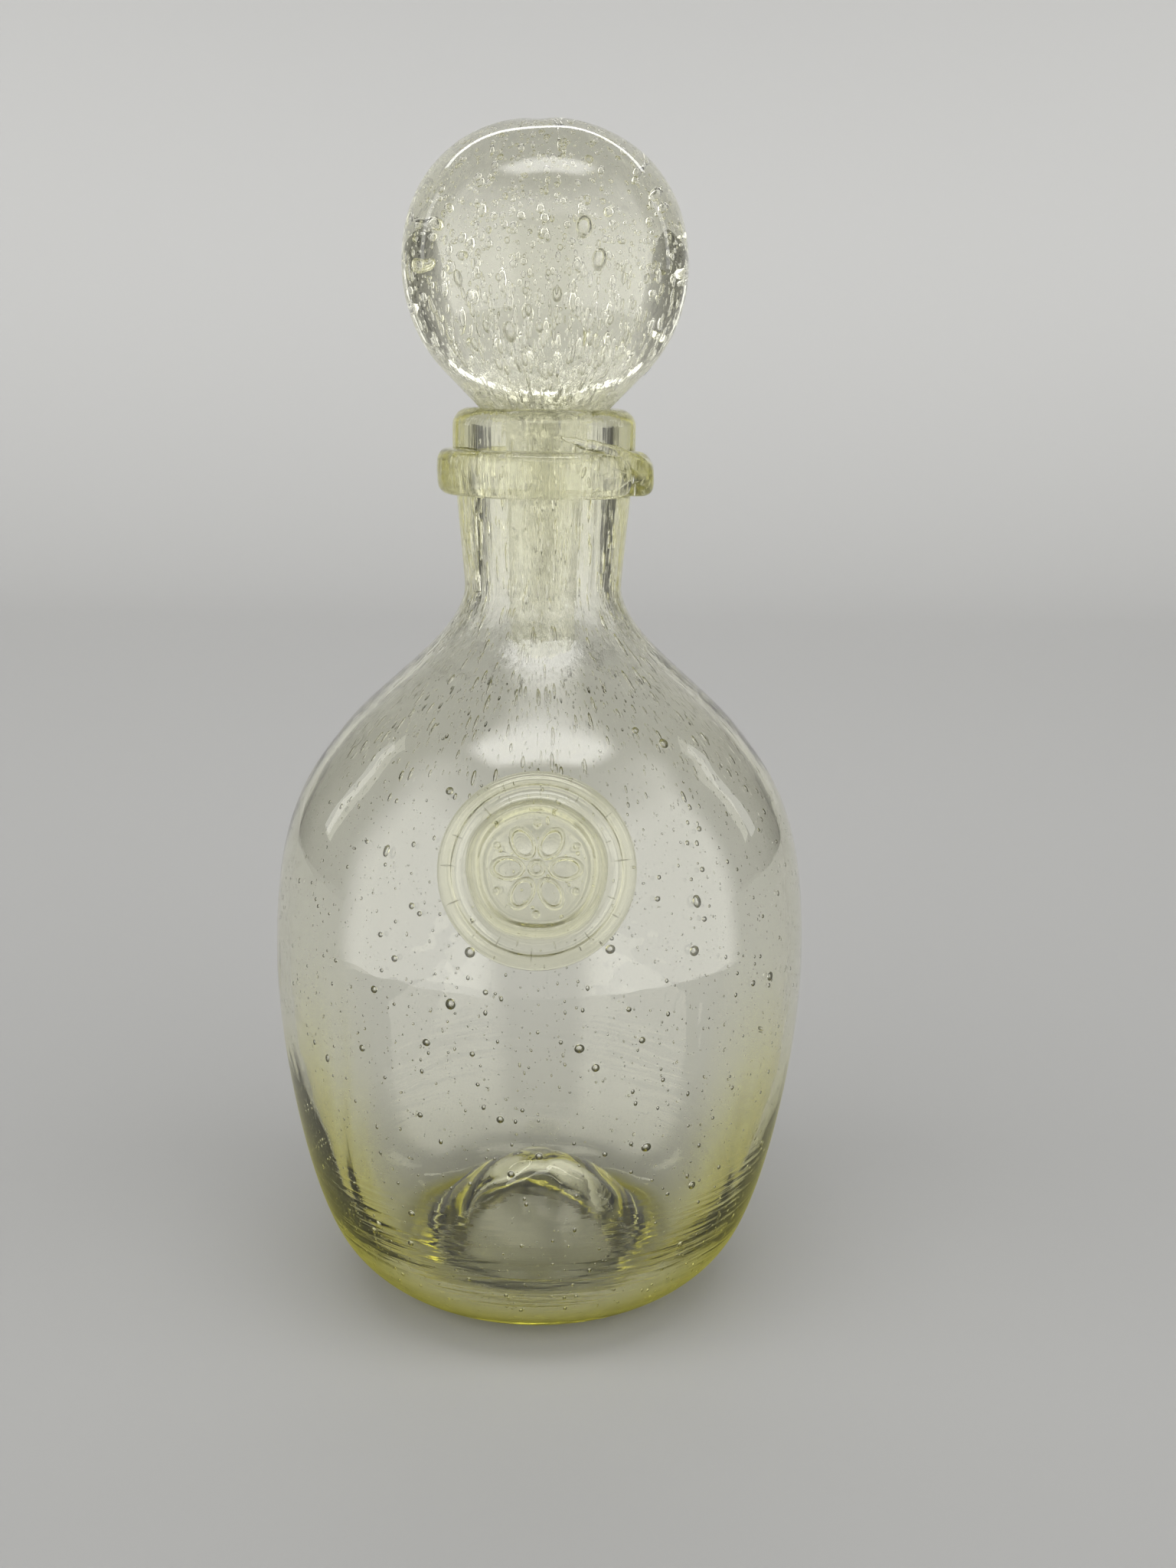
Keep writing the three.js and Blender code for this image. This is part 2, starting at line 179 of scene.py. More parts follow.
# %% Unevenness
def waves(seed, count, rounds, rises):
    """A function of turn and height that wanders between about -1 and 1."""
    random = np.random.default_rng(seed)
    turns = random.integers(rounds[0], rounds[1], size=count, endpoint=True)
    climbs = random.uniform(rises[0], rises[1], size=count) * random.choice([-1, 1], size=count)
    starts = random.uniform(0, 2 * math.pi, size=count)

    def at(turn, height):
        total = 0
        for k in range(count):
            total = total + np.sin(turns[k] * turn + climbs[k] * height + starts[k])
        return total / math.sqrt(count)

    return at


def plan_waves(seed, count, lengths):
    """A function of the place in plan that wanders between about -1 and 1."""
    random = np.random.default_rng(seed)
    headings = random.uniform(0, 2 * math.pi, size=count)
    rates = 2 * math.pi / random.uniform(lengths[0], lengths[1], size=count)
    starts = random.uniform(0, 2 * math.pi, size=count)

    def at(x, y):
        total = 0
        for k in range(count):
            across = x * math.cos(headings[k]) + y * math.sin(headings[k])
            total = total + np.sin(rates[k] * across + starts[k])
        return total / math.sqrt(count)

    return at


def ease(low, high, value):
    """0 below low, 1 above high and a smooth step between. It falls if low is the greater."""
    t = np.clip((value - low) / (high - low), 0, 1)
    return t * t * (3 - 2 * t)


# %% [markdown]
# One function makes a mesh from rows of points, each row a ring round the axis. The rings of a
# closed piece end in a single point at either side. Faces are wound so that they look out of the
# glass: glass shaders bend light by which side of a face is hit, so a face turned the wrong way
# makes the piece look like an air bubble.

# %% Meshes from rings
def link(name, mesh, material=None):
    piece = bpy.data.objects.new(name, mesh)
    bpy.context.scene.collection.objects.link(piece)
    if material:
        mesh.materials.append(material)
    return piece


def ring_mesh(name, rows, first=None, last=None):
    """Joins rows of points, shaped (rows, points, 3). First and last are points that close it."""
    count, around = rows.shape[:2]
    points = rows.reshape(-1, 3)
    rings = np.arange(count * around).reshape(count, around)
    ahead = np.roll(rings, -1, axis=1)
    quads = np.stack([rings[:-1], ahead[:-1], ahead[1:], rings[1:]], -1).reshape(-1, 4)
    faces = quads.tolist()
    for pole, ring, flip in ((first, 0, True), (last, count - 1, False)):
        if pole is None:
            continue
        points = np.vstack([points, pole])
        index = len(points) - 1
        for k in range(around):
            a = ring * around + k
            b = ring * around + (k + 1) % around
            faces.append([index, b, a] if flip else [index, a, b])
    mesh = bpy.data.meshes.new(name)
    mesh.from_pydata(points.tolist(), [], faces)
    mesh.shade_smooth()
    return mesh


def turned_rows(outline, segments, push=None):
    """Rings of an outline, pushed out of the glass by push(turn, radius, height, row)."""
    turn = np.linspace(0, 2 * math.pi, segments, endpoint=False)[None, :]
    radius = np.repeat(outline[:, :1], segments, axis=1)
    height = np.repeat(outline[:, 1:], segments, axis=1)
    if push is not None:
        row = np.arange(len(outline))[:, None]
        amount = push(turn, radius, height, row)
        normal = outward(outline)
        radius, height = radius + normal[:, :1] * amount, height + normal[:, 1:] * amount
    return np.stack([radius * np.cos(turn), radius * np.sin(turn), height], -1)


def turned_mesh(name, outline, segments, push=None):
    """A closed piece from an outline that starts and ends on the axis."""
    rows = turned_rows(outline, segments, push)
    first = rows[0].mean(axis=0)
    last = rows[-1].mean(axis=0)
    return ring_mesh(name, rows[1:-1], first, last)


def told(piece):
    corners = np.array([v.co for v in piece.data.vertices])
    size = np.round((corners.max(0) - corners.min(0)) / MM, 1)
    print(piece.name, "faces", len(piece.data.polygons), "size mm", size.tolist())


# %% [markdown]
# Materials are trees of nodes. A few helpers keep them readable. The first adds a node and fills
# its sockets in one line, from plain values or from other nodes. The others are the sums that
# come back in every material: a smooth step, a band between two heights and a tint.

# %% Node helpers
def add(tree, kind, *values, settings=None, **named):
    """Adds a node. Values go to its sockets in order or by name, and a value may be a socket."""
    node = tree.nodes.new(kind)
    for key, value in (settings or {}).items():
        setattr(node, key, value)
    open_sockets = [s for s in node.inputs if s.enabled]
    pairs = list(zip(open_sockets, values))
    for key, value in named.items():
        wanted = key.replace("_", " ").lower()
        pairs.append((next(s for s in open_sockets if s.name.lower() == wanted), value))
    for socket, value in pairs:
        if value is None:
            continue
        if isinstance(value, bpy.types.NodeSocket):
            tree.links.new(value, socket)
        else:
            socket.default_value = value
    return node


def result(node):
    return next(s for s in node.outputs if s.enabled)


def math_node(tree, operation, *values):
    return result(add(tree, "ShaderNodeMath", *values, settings={"operation": operation}))


def smooth_step(tree, value, low, high, start=0.0, end=1.0):
    """Goes smoothly from start, where the value is low, to end, where it is high."""
    settings = {"interpolation_type": "SMOOTHSTEP"}
    return result(add(tree, "ShaderNodeMapRange", value, low, high, start, end, settings=settings))


def own_place(tree):
    return add(tree, "ShaderNodeTexCoord").outputs["Object"]


def own_height(tree):
    return add(tree, "ShaderNodeSeparateXYZ", own_place(tree)).outputs["Z"]


def band(tree, low, high, fade):
    """1 between two heights on the piece, fading to 0 outside."""
    height = own_height(tree)
    up = smooth_step(tree, height, low - fade, low)
    down = smooth_step(tree, height, high, high + fade, 1.0, 0.0)
    return math_node(tree, "MULTIPLY", up, down)


def tinted(tree, share, colour):
    """White where share is 0, and the colour where it is 1."""
    settings = {"data_type": "RGBA"}
    return result(add(tree, "ShaderNodeMix", share, (1, 1, 1, 1), colour, settings=settings))


# %% [markdown]
# Old-style bottle glass is nearly colourless in a thin wall and yellow-green where it is looked
# at edge on. A surface colour can't do that. Volume absorption can: light loses the same share of
# its blue with every millimetre, so the tint follows the real thickness by itself. The surface
# gets its hand-made waviness from layers of noise, each a row in a table: a soft one all over, one
# drawn out along the neck, and fine level cords in the heel, where the gather was wound on. The
# heel has a surface tint as well, for the yellow that gathers where it is looked along.

# %% Glass
GLASS_IOR = 1.5
TINT = (0.80, 0.775, 0.0, 1)
TINT_DENSITY = 22


def uneven_normal(tree, layers):
    """Bumps the surface by layers of noise in the piece's own space, one on top of the other."""
    normal = None
    for stretch, size, detail, lean, height, where in layers:
        turned = {"rotation_type": "Y_AXIS"}
        place = add(
            tree, "ShaderNodeVectorRotate", Vector=own_place(tree), Angle=lean, settings=turned
        )
        place = add(tree, "ShaderNodeMapping", Vector=result(place), Scale=stretch)
        noise = add(tree, "ShaderNodeTexNoise", Vector=result(place), Scale=size, Detail=detail)
        layer = {"Height": result(noise), "Distance": height, "Normal": normal}
        layer["Strength"] = band(tree, *where) if where else 1.0
        normal = result(add(tree, "ShaderNodeBump", **layer))
    return normal


def glass_material(name, density, layers, tint=None):
    """Clear glass with absorption, an uneven surface and, from tint(tree), a surface tint."""
    material = bpy.data.materials.new(name)
    material.use_nodes = True
    tree = material.node_tree
    tree.nodes.clear()
    look = {"Normal": uneven_normal(tree, layers), "Color": tint(tree) if tint else (1, 1, 1, 1)}
    surface = add(tree, "ShaderNodeBsdfGlass", Roughness=0.0, IOR=GLASS_IOR, **look)
    volume = add(tree, "ShaderNodeVolumeAbsorption", Color=TINT, Density=density)
    add(tree, "ShaderNodeOutputMaterial", Surface=result(surface), Volume=result(volume))
    return material


# Where a layer or a tint lies: from one height to another, and how far it fades beyond them
NECK_BAND = (163 * MM, 215 * MM, 14 * MM)
HEEL_BAND = (3 * MM, 34 * MM, 14 * MM)
ALL_ROUND = (1, 1, 1)
# Stretch of the noise, its scale per metre, detail, lean in radians, height, and its band if any
BOTTLE_LAYERS = (
    (ALL_ROUND, 55, 2.0, 0.0, 0.14 * MM, None),
    ((1, 1, 0.035), 700, 3.0, 0.0, 0.15 * MM, NECK_BAND),
    ((0.05, 0.05, 1), 560, 3.0, 0.0, 0.09 * MM, HEEL_BAND),
)
HEEL_TINT = (1.0, 0.965, 0.3, 1)
HEEL_TINT_HEIGHTS = (14 * MM, 80 * MM)
HEEL_TINT_FACING = (0.22, 0.85)
HEEL_TINT_RADII = (25 * MM, 32 * MM)


def heel_tint(tree):
    """Deeper yellow where the thick heel is looked along, but not in the kick inside it."""
    low = smooth_step(tree, own_height(tree), *HEEL_TINT_HEIGHTS, 1.0, 0.0)
    facing = add(tree, "ShaderNodeLayerWeight", Blend=0.5).outputs["Facing"]
    share = math_node(tree, "MULTIPLY", low, smooth_step(tree, facing, *HEEL_TINT_FACING))
    flat = add(
        tree, "ShaderNodeVectorMath", own_place(tree), (1, 1, 0), settings={"operation": "MULTIPLY"}
    )
    length = add(tree, "ShaderNodeVectorMath", result(flat), settings={"operation": "LENGTH"})
    outside = smooth_step(tree, length.outputs["Value"], *HEEL_TINT_RADII)
    return tinted(tree, math_node(tree, "MULTIPLY", share, outside), HEEL_TINT)


bottle_glass = glass_material("bottle_glass", TINT_DENSITY, BOTTLE_LAYERS, heel_tint)
print("tint density", TINT_DENSITY, "per metre")

# %% [markdown]
# The bottle is one closed skin: up into the kick from below, out to the foot, up the side, over
# the lip and down the inside again. Its outline repeats the sizes of the model. The inner side
# is drawn from the outer one, one wall thickness in from it at the shoulder and at the belly.

# %% Bottle outline
FOOT_RADIUS = 25 * MM
HEEL_RADIUS = 28.5 * MM
HEEL_SWEEP = 64
BELLY_HEIGHT = 80.5 * MM
SHOULDER_POINT = np.array([46.3, 136.3]) * MM
SHOULDER_SLOPE = 52.2
NECK_POINT = np.array([18, 170.6]) * MM
COLLAR_POINT = np.array([20.6, 200]) * MM
LIP_RADIUS = 20.6 * MM
LIP_ROUNDING = 4 * MM
MOUTH_ROUNDING = 2.5 * MM
BORE_RADIUS = 13.7 * MM
SHOULDER_WALL = 3.6 * MM
BELLY_WALL = 3.2 * MM
BASE_LOW_POINT = np.array([33, 7]) * MM
KICK_RADIUS = 20.2 * MM
KICK_HEIGHT = 21.5 * MM
KICK_WALL = 5 * MM
KICK_EDGE = 1.6 * MM
LOWER_PULLS = (0.264, 0.24)
UPPER_PULLS = (0.645, 0.25)
SWEEP_PULLS = (0.41, 0.33)
INNER_PULLS = (0.52, 0.17)
KICK_PULLS = (0.45, 0.95)
DOME_PULLS = (0.6, 0.86, 0.42)
UP = heading(90)
IN = heading(180)
belt = np.array([BELLY_RADIUS, BELLY_HEIGHT])
up_shoulder = heading(180 - SHOULDER_SLOPE)
up_neck = unit(COLLAR_POINT - NECK_POINT)


def outer_side():
    heel = arc((FOOT_RADIUS, HEEL_RADIUS), HEEL_RADIUS, -90, HEEL_SWEEP - 90)
    return joined(
        divided(heel, 0.9 * MM),
        divided(sweep(heel[-1], heading(HEEL_SWEEP), belt, UP, LOWER_PULLS), 1.3 * MM),
        divided(sweep(belt, UP, SHOULDER_POINT, up_shoulder, UPPER_PULLS), 1.5 * MM),
        divided(sweep(SHOULDER_POINT, up_shoulder, NECK_POINT, up_neck, SWEEP_PULLS), 1.2 * MM),
        divided([NECK_POINT, COLLAR_POINT], 1.5 * MM),
    )


def underside():
    top = np.array([0, KICK_HEIGHT])
    edge = np.array([KICK_RADIUS, KICK_EDGE])
    first = top + (KICK_RADIUS * DOME_PULLS[0], 0)
    second = edge * (DOME_PULLS[1], 0) + (0, KICK_HEIGHT * DOME_PULLS[2])
    dome = bezier(top, first, second, edge)
    above = np.array([KICK_RADIUS, KICK_HEIGHT])
    foot = np.array([FOOT_RADIUS, 0])
    rim = rounded_corner(above, np.array([KICK_RADIUS, 0]), foot, KICK_EDGE)
    rest = divided([rim[-1], foot], 0.9 * MM)
    return joined(divided(dome, 0.9 * MM), divided(rim, 0.5 * MM), rest)


def lip():
    outside = np.array([LIP_RADIUS, LIP_HEIGHT])
    inside = np.array([BORE_RADIUS, LIP_HEIGHT])
    over = rounded_corner(COLLAR_POINT, outside, inside, LIP_ROUNDING)
    mouth = rounded_corner(outside, inside, np.array([BORE_RADIUS, NECK_POINT[1]]), MOUTH_ROUNDING)
    rise = divided([COLLAR_POINT, over[0]], 1.2 * MM)
    return joined(rise, divided(over, 0.5 * MM), divided(mouth, 0.4 * MM))


def inner_side():
    bore_end = np.array([BORE_RADIUS, NECK_POINT[1]])
    shoulder = SHOULDER_POINT + SHOULDER_WALL * np.array([-up_shoulder[1], up_shoulder[0]])
    belly = belt - (BELLY_WALL, 0)
    kick_top = np.array([0, KICK_HEIGHT + KICK_WALL])
    mouth_end = np.array([BORE_RADIUS, LIP_HEIGHT - MOUTH_ROUNDING])
    return joined(
        divided([mouth_end, bore_end], 1.5 * MM),
        divided(sweep(bore_end, -UP, shoulder, -up_shoulder, SWEEP_PULLS[::-1]), 1.4 * MM),
        divided(sweep(shoulder, -up_shoulder, belly, -UP, UPPER_PULLS[::-1]), 1.6 * MM),
        divided(sweep(belly, -UP, BASE_LOW_POINT, IN, INNER_PULLS), 1.3 * MM),
        divided(sweep(BASE_LOW_POINT, IN, kick_top, IN, KICK_PULLS), 0.9 * MM),
    )


under_line = underside()
outer_line = outer_side()
inner_line = inner_side()
bottle_line = joined(under_line, outer_line, lip(), inner_line)
inner_start = len(bottle_line) - len(inner_line)
print("bottle outline has", len(bottle_line), "points")

# %% [markdown]
# Then the outline is swept round the axis and pushed a little out of true. The inner wall wanders
# as it likes, because nothing but breath has touched it, and it has a few upright cords. The dome
# of the kick is the most uneven place, because it was pushed in last, with a rod.

# %% Bottle
outer_wave = waves(seed=3, count=5, rounds=(1, 4), rises=(8, 30))
inner_wave = waves(seed=8, count=9, rounds=(1, 7), rises=(20, 110))
kick_wave = plan_waves(seed=21, count=10, lengths=(9 * MM, 26 * MM))
heel_wave = waves(seed=34, count=6, rounds=(1, 3), rises=(900, 1700))
WANDER = 0.12 * MM
KICK_WANDER = 0.22 * MM
KICK_MORE_INSIDE = 0.16 * MM
HEEL_RINGS = 0.02 * MM
# Degrees round the axis, half width in mm, height in mm, and the heights it runs between in mm
SIDE_CORDS = (
    (-137, 1.8, 0.22, 28, 100),
    (-131, 1.2, 0.12, 34, 90),
    (-38, 2.4, 0.1, 26, 84),
    (40, 2.2, 0.2, 30, 96),
    (118, 2.4, 0.2, 40, 104),
)
CORD_START = 14 * MM
CORD_END = 30 * MM
CORD_BEND = 0.04
CORD_BENDS_PER_METRE = 90
# A fade is none at its first height or radius and full at its second
LIP_FADE = (LIP_HEIGHT - 6 * MM, LIP_HEIGHT - 30 * MM)
FOOT_FADE = (0, 20 * MM)
AXIS_FADE = (1 * MM, 9 * MM)
HEEL_LOW_FADE = (2 * MM, 8 * MM)
HEEL_TOP_FADE = (44 * MM, 22 * MM)
HEEL_INNER_FADE = (26 * MM, 34 * MM)
KICK_LOW_FADE = (1 * MM, 7 * MM)
KICK_TOP_FADE = (40 * MM, 30 * MM)
KICK_OUTER_FADE = (24 * MM, 17 * MM)


def side_cords(turn, radius, height):
    """Upright ridges inside the wall, where one layer of the gather ran over another."""
    total = 0
    for degrees, half_width, rise, low, high in SIDE_CORDS:
        bend = CORD_BEND * np.sin(height * CORD_BENDS_PER_METRE + degrees)
        off = (turn - math.radians(degrees) - bend + math.pi) % (2 * math.pi) - math.pi
        starts = ease(low * MM, low * MM + CORD_START, height)
        ends = ease(high * MM, high * MM - CORD_END, height)
        ridge = np.exp(-((off * radius / (half_width * MM)) ** 2))
        total = total + rise * MM * ridge * starts * ends
    return total


def bottle_push(turn, radius, height, row):
    """How far each point is pushed out of the glass. The lip and the foot stay true."""
    inner = (row >= inner_start).astype(float)
    outer_part = outer_wave(turn, height) * WANDER * ease(*FOOT_FADE, height) * (1 - inner)
    inner_part = inner_wave(turn, height) * WANDER * ease(*LIP_FADE, height) * inner
    heel = ease(*HEEL_LOW_FADE, height) * ease(*HEEL_TOP_FADE, height)
    heel_part = heel_wave(turn, height) * HEEL_RINGS * heel
    heel_part = heel_part * ease(*HEEL_INNER_FADE, radius) * inner
    cord_part = side_cords(turn, radius, height) * inner
    kick = ease(*KICK_TOP_FADE, height) * ease(*KICK_LOW_FADE, height)
    kick = kick * ease(*KICK_OUTER_FADE, radius) * (KICK_WANDER + KICK_MORE_INSIDE * inner)
    kick_part = kick_wave(radius * np.cos(turn), radius * np.sin(turn)) * kick
    wall_part = outer_part + inner_part + heel_part + cord_part
    return wall_part * ease(*AXIS_FADE, radius) + kick_part


BOTTLE_SEGMENTS = 216
bottle_shape = turned_mesh("blown_bottle", bottle_line, BOTTLE_SEGMENTS, bottle_push)
bottle = link("blown_bottle", bottle_shape, bottle_glass)
told(bottle)

# %% [markdown]
# The stopper is a solid gather of glass: a ball that runs down in a short cone and ends in a
# round shank. It hangs in the mouth by the cone. The same turning is used, with waves of its own
# and a fine lengthwise grain on the shank, where the glass was drawn out. The shank also has a
# faint olive-grey surface tint, which takes its brightness down a little.

# %% Stopper
CROWN_HEIGHT = 30.8 * MM
CROWN_FULLNESS = 2.19
TAPER = 45
SHANK_TOP_RADIUS = 9 * MM
SHANK_END_RADIUS = 7.5 * MM
SHANK_ROOT_ROUNDING = 6 * MM
SHANK_END_ROUNDING = 5.5 * MM
ball_height = stopper_high.z - CROWN_HEIGHT


def stopper_outline():
    """From the end of the shank up to the top of the ball."""
    turn = np.radians(np.linspace(0, 90, 120))
    crown = np.stack([np.cos(turn), np.sin(turn)], 1) ** (2 / CROWN_FULLNESS)
    crown = crown * (BALL_RADIUS, CROWN_HEIGHT) + (0, ball_height)
    lower = arc((0, ball_height), BALL_RADIUS, -TAPER, 0)
    apex = ball_height - BALL_RADIUS / math.sin(math.radians(TAPER))
    root = np.array([SHANK_TOP_RADIUS, apex + SHANK_TOP_RADIUS / math.tan(math.radians(TAPER))])
    end = np.array([SHANK_END_RADIUS, SHANK_END_HEIGHT])
    bottom = np.array([0, SHANK_END_HEIGHT])
    tip = rounded_corner(bottom, end, root, SHANK_END_ROUNDING)
    base = rounded_corner(end, root, lower[0], SHANK_ROOT_ROUNDING)
    return joined(
        divided([bottom, tip[0]], 0.6 * MM),
        divided(tip, 0.5 * MM),
        divided([tip[-1], base[0]], 1.2 * MM),
        divided(base, 0.6 * MM),
        divided([base[-1], lower[0]], 1 * MM),
        divided(lower, 1 * MM),
        divided(crown, 1 * MM),
    )


GRAIN_LEAN = math.radians(14)
GRAIN_BAND = (150 * MM, 214 * MM, 10 * MM)
SHANK_BAND = (150 * MM, 206 * MM, 14 * MM)
SHANK_TINT = (0.9, 0.9, 0.86, 1)
STOPPER_WANDER = 0.14 * MM
STOPPER_DENSITY = TINT_DENSITY * 0.16
STOPPER_LAYERS = (
    (ALL_ROUND, 45, 2.0, 0.0, 0.16 * MM, None),
    ((1, 1, 0.05), 800, 3.0, GRAIN_LEAN, 0.18 * MM, GRAIN_BAND),
)
STOPPER_SEGMENTS = 200
SEAT_TOP_FADE = (LIP_HEIGHT + 10 * MM, LIP_HEIGHT + 22 * MM)
SEAT_LOW_FADE = (LIP_HEIGHT - 10 * MM, LIP_HEIGHT - 20 * MM)
CROWN_FADE = (0, 6 * MM)
stopper_line = stopper_outline()
stopper_wave = waves(seed=5, count=6, rounds=(1, 4), rises=(20, 90))


def stopper_push(turn, radius, height, row):
    """Nothing is pushed where the cone sits in the mouth."""
    off_seat = ease(*SEAT_TOP_FADE, height) + ease(*SEAT_LOW_FADE, height)
    wander = stopper_wave(turn, height) * STOPPER_WANDER
    return wander * off_seat * ease(*CROWN_FADE, radius)


# A faint olive-grey surface tint over the shank band, which dims the shank a little
def shank_tint(tree):
    return tinted(tree, band(tree, *SHANK_BAND), SHANK_TINT)


stopper_glass = glass_material("stopper_glass", STOPPER_DENSITY, STOPPER_LAYERS, shank_tint)
stopper_shape = turned_mesh("ball_stopper", stopper_line, STOPPER_SEGMENTS, stopper_push)
stopper = link("ball_stopper", stopper_shape, stopper_glass)
told(stopper)

# %% [markdown]
# The neck ring is a trail: a thread of hot glass laid once round the neck and lapped over its own
# start, where it thins to a tail and climbs. It is a loft. A squarish section is carried round
# the neck, and a few stations say how high it lies, how tall it is and how far it stands out.
# Two stretches are lofted and joined by a union, so that the lap is one body, and the inside is
# pressed a little way into the neck, because a fused trail has no air behind it.

# %% Neck ring
TRAIL_HEIGHT = LIP_HEIGHT - 14 * MM
TRAIL_OUTER = 24.3 * MM
TRAIL_HALF_HEIGHT = 5.1 * MM
TRAIL_SQUARENESS = 3.4
TRAIL_START = 57
TRAIL_SINK = 0.4 * MM
TRAIL_STEP = 2
TRAIL_POINTS = 44
TRAIL_SPLIT = 180
TRAIL_INNER = 16 * MM
TRAIL_WANDER = 0.1 * MM
RING_DENSITY = TINT_DENSITY * 0.9
RING_LAYERS = (
    ((1, 1, 0.05), 650, 3.0, 0.0, 0.17 * MM, None),
    (ALL_ROUND, 180, 2.0, 0.0, 0.12 * MM, None),
)
# Degrees wound, rise in mm, share of the half height, and how far it stands out in mm
TRAIL_STATIONS = np.array([
    (0, 0, 0.55, -1.2),
    (4, 0, 0.9, -0.3),
    (14, 0, 1, 0),
    (285, 0, 1, 0),
    (317, -0.3, 0.95, 0.2),
    (337, -0.9, 0.84, 0.6),
    (360, 2.2, 0.62, 0.3),
    (374, 5, 0.34, -0.7),
    (391, 6.6, 0.24, -1.6),
    (403, 7.7, 0.14, -2.4),
    (407, 8.2, 0.06, -2.8),
])
trail_wave = waves(seed=13, count=7, rounds=(2, 11), rises=(50, 300))


def neck_radius(height):
    return np.interp(height, outer_line[:, 1], outer_line[:, 0])


def trail_station(wound):
    """Height of the middle, half height and outer radius after so many degrees wound."""
    n = int(np.clip(np.searchsorted(TRAIL_STATIONS[:, 0], wound), 1, len(TRAIL_STATIONS) - 1))
    before, after = TRAIL_STATIONS[n - 1], TRAIL_STATIONS[n]
    share = ease(before[0], after[0], wound)
    rise, height, stand = before[1:] + (after[1:] - before[1:]) * share
    return TRAIL_HEIGHT + rise * MM, TRAIL_HALF_HEIGHT * height, TRAIL_OUTER + stand * MM


def trail_stretch(name, start, end):
    turn = np.linspace(0, 2 * math.pi, TRAIL_POINTS, endpoint=False)
    squarer = 2 / TRAIL_SQUARENESS
    out = np.sign(np.cos(turn)) * np.abs(np.cos(turn)) ** squarer
    up = np.sign(np.sin(turn)) * np.abs(np.sin(turn)) ** squarer
    rows = []
    for wound in np.linspace(start, end, math.ceil((end - start) / TRAIL_STEP) + 1):
        middle, half_height, outer = trail_station(wound)
        angle = math.radians(TRAIL_START - wound - 90)
        height = middle + half_height * up
        radius = (TRAIL_INNER + outer) / 2 + (outer - TRAIL_INNER) / 2 * out
        radius = radius + TRAIL_WANDER * trail_wave(angle, height) * (out > 0)
        radius = np.maximum(radius, neck_radius(height) - TRAIL_SINK)
        x, y = radius * math.cos(angle), radius * math.sin(angle)
        rows.append(np.stack([x, y, height], 1))
    rows = np.array(rows)
    return link(name, ring_mesh(name, rows, rows[0].mean(axis=0), rows[-1].mean(axis=0)))


ring_glass = glass_material("ring_glass", RING_DENSITY, RING_LAYERS)
first_stretch = trail_stretch("first_stretch", 0, TRAIL_SPLIT)
trail_end = TRAIL_STATIONS[-1][0]
second_stretch = trail_stretch("second_stretch", TRAIL_SPLIT - 2 * TRAIL_STEP, trail_end)
lap = first_stretch.modifiers.new("lap", "BOOLEAN")
lap.operation = "UNION"
lap.solver = "MANIFOLD"
lap.object = second_stretch
graph = bpy.context.evaluated_depsgraph_get()
ring_shape = bpy.data.meshes.new_from_object(first_stretch.evaluated_get(graph))
ring_shape.materials.clear()
ring = link("wound_neck_ring", ring_shape, ring_glass)
ring_shape.shade_smooth()
bpy.data.objects.remove(first_stretch)
bpy.data.objects.remove(second_stretch)
told(ring)

# %% [markdown]
# The seal is a pad of glass dropped on the hot shoulder and pressed with a round stamp, which
# leaves a sunk field, a swollen rim and a thin flange with a roll near its edge. It is drawn on a
# round grid in its own plane, which leans as the shoulder does. The back follows the shoulder,
# which is found along the seal's own axis by halving the distance again and again.

# %% Place of the seal
SEAL_RADIUS = 20.5 * MM
SEAL_HEIGHT = 118.5 * MM
SEAL_TURN = math.radians(-0.9)
LEAN_REACH = 3 * MM
SEAT_LOW = -14 * MM
SEAT_HIGH = 4 * MM
HALVINGS = 40
seat_line = outer_line[outer_line[:, 1] > BELLY_HEIGHT]
seat_heights = SEAL_HEIGHT + np.array([-LEAN_REACH, 0, LEAN_REACH])
below, seat_radius, above = np.interp(seat_heights, seat_line[:, 1], seat_line[:, 0])
seal_lean = math.atan2(below - above, 2 * LEAN_REACH)
seal_place = (
    Matrix.Rotation(SEAL_TURN, 4, "Z")
    @ Matrix.Translation((0, -seat_radius, SEAL_HEIGHT))
    @ Matrix.Rotation(math.pi / 2 - seal_lean, 4, "X")
)
seal_turn = np.array(seal_place.to_3x3())
seal_middle = np.array(seal_place.translation)


def on_seal(x, y, out):
    """Points given in the seal's own plane and height, in the model's frame."""
    return np.stack([x, y, out], -1) @ seal_turn.T + seal_middle


def shoulder_under(x, y):
    """How far out along the seal's axis the bottle's surface lies, found by halving."""
    low = np.full(x.shape, SEAT_LOW)
    high = np.full(x.shape, SEAT_HIGH)
    for _ in range(HALVINGS):
        middle = (low + high) / 2
        spot = on_seal(x, y, middle)
        inside = np.hypot(spot[..., 0], spot[..., 1]) < neck_radius(spot[..., 2])
        low = np.where(inside, middle, low)
        high = np.where(inside, high, middle)
    return low


print("seal leans", round(math.degrees(seal_lean), 1), "degrees, at radius", round(seat_radius, 4))

# %% [markdown]
# The front is a height for every radius, made of a few profiles that are joined by smooth steps:
# the field, the rim and the crowned flange with its roll. Only the rosette and the slight wander
# of the rim also depend on the direction. The rosette is plain, and its petals are outlined with
# thin cords, as a stamp cut by hand leaves them.

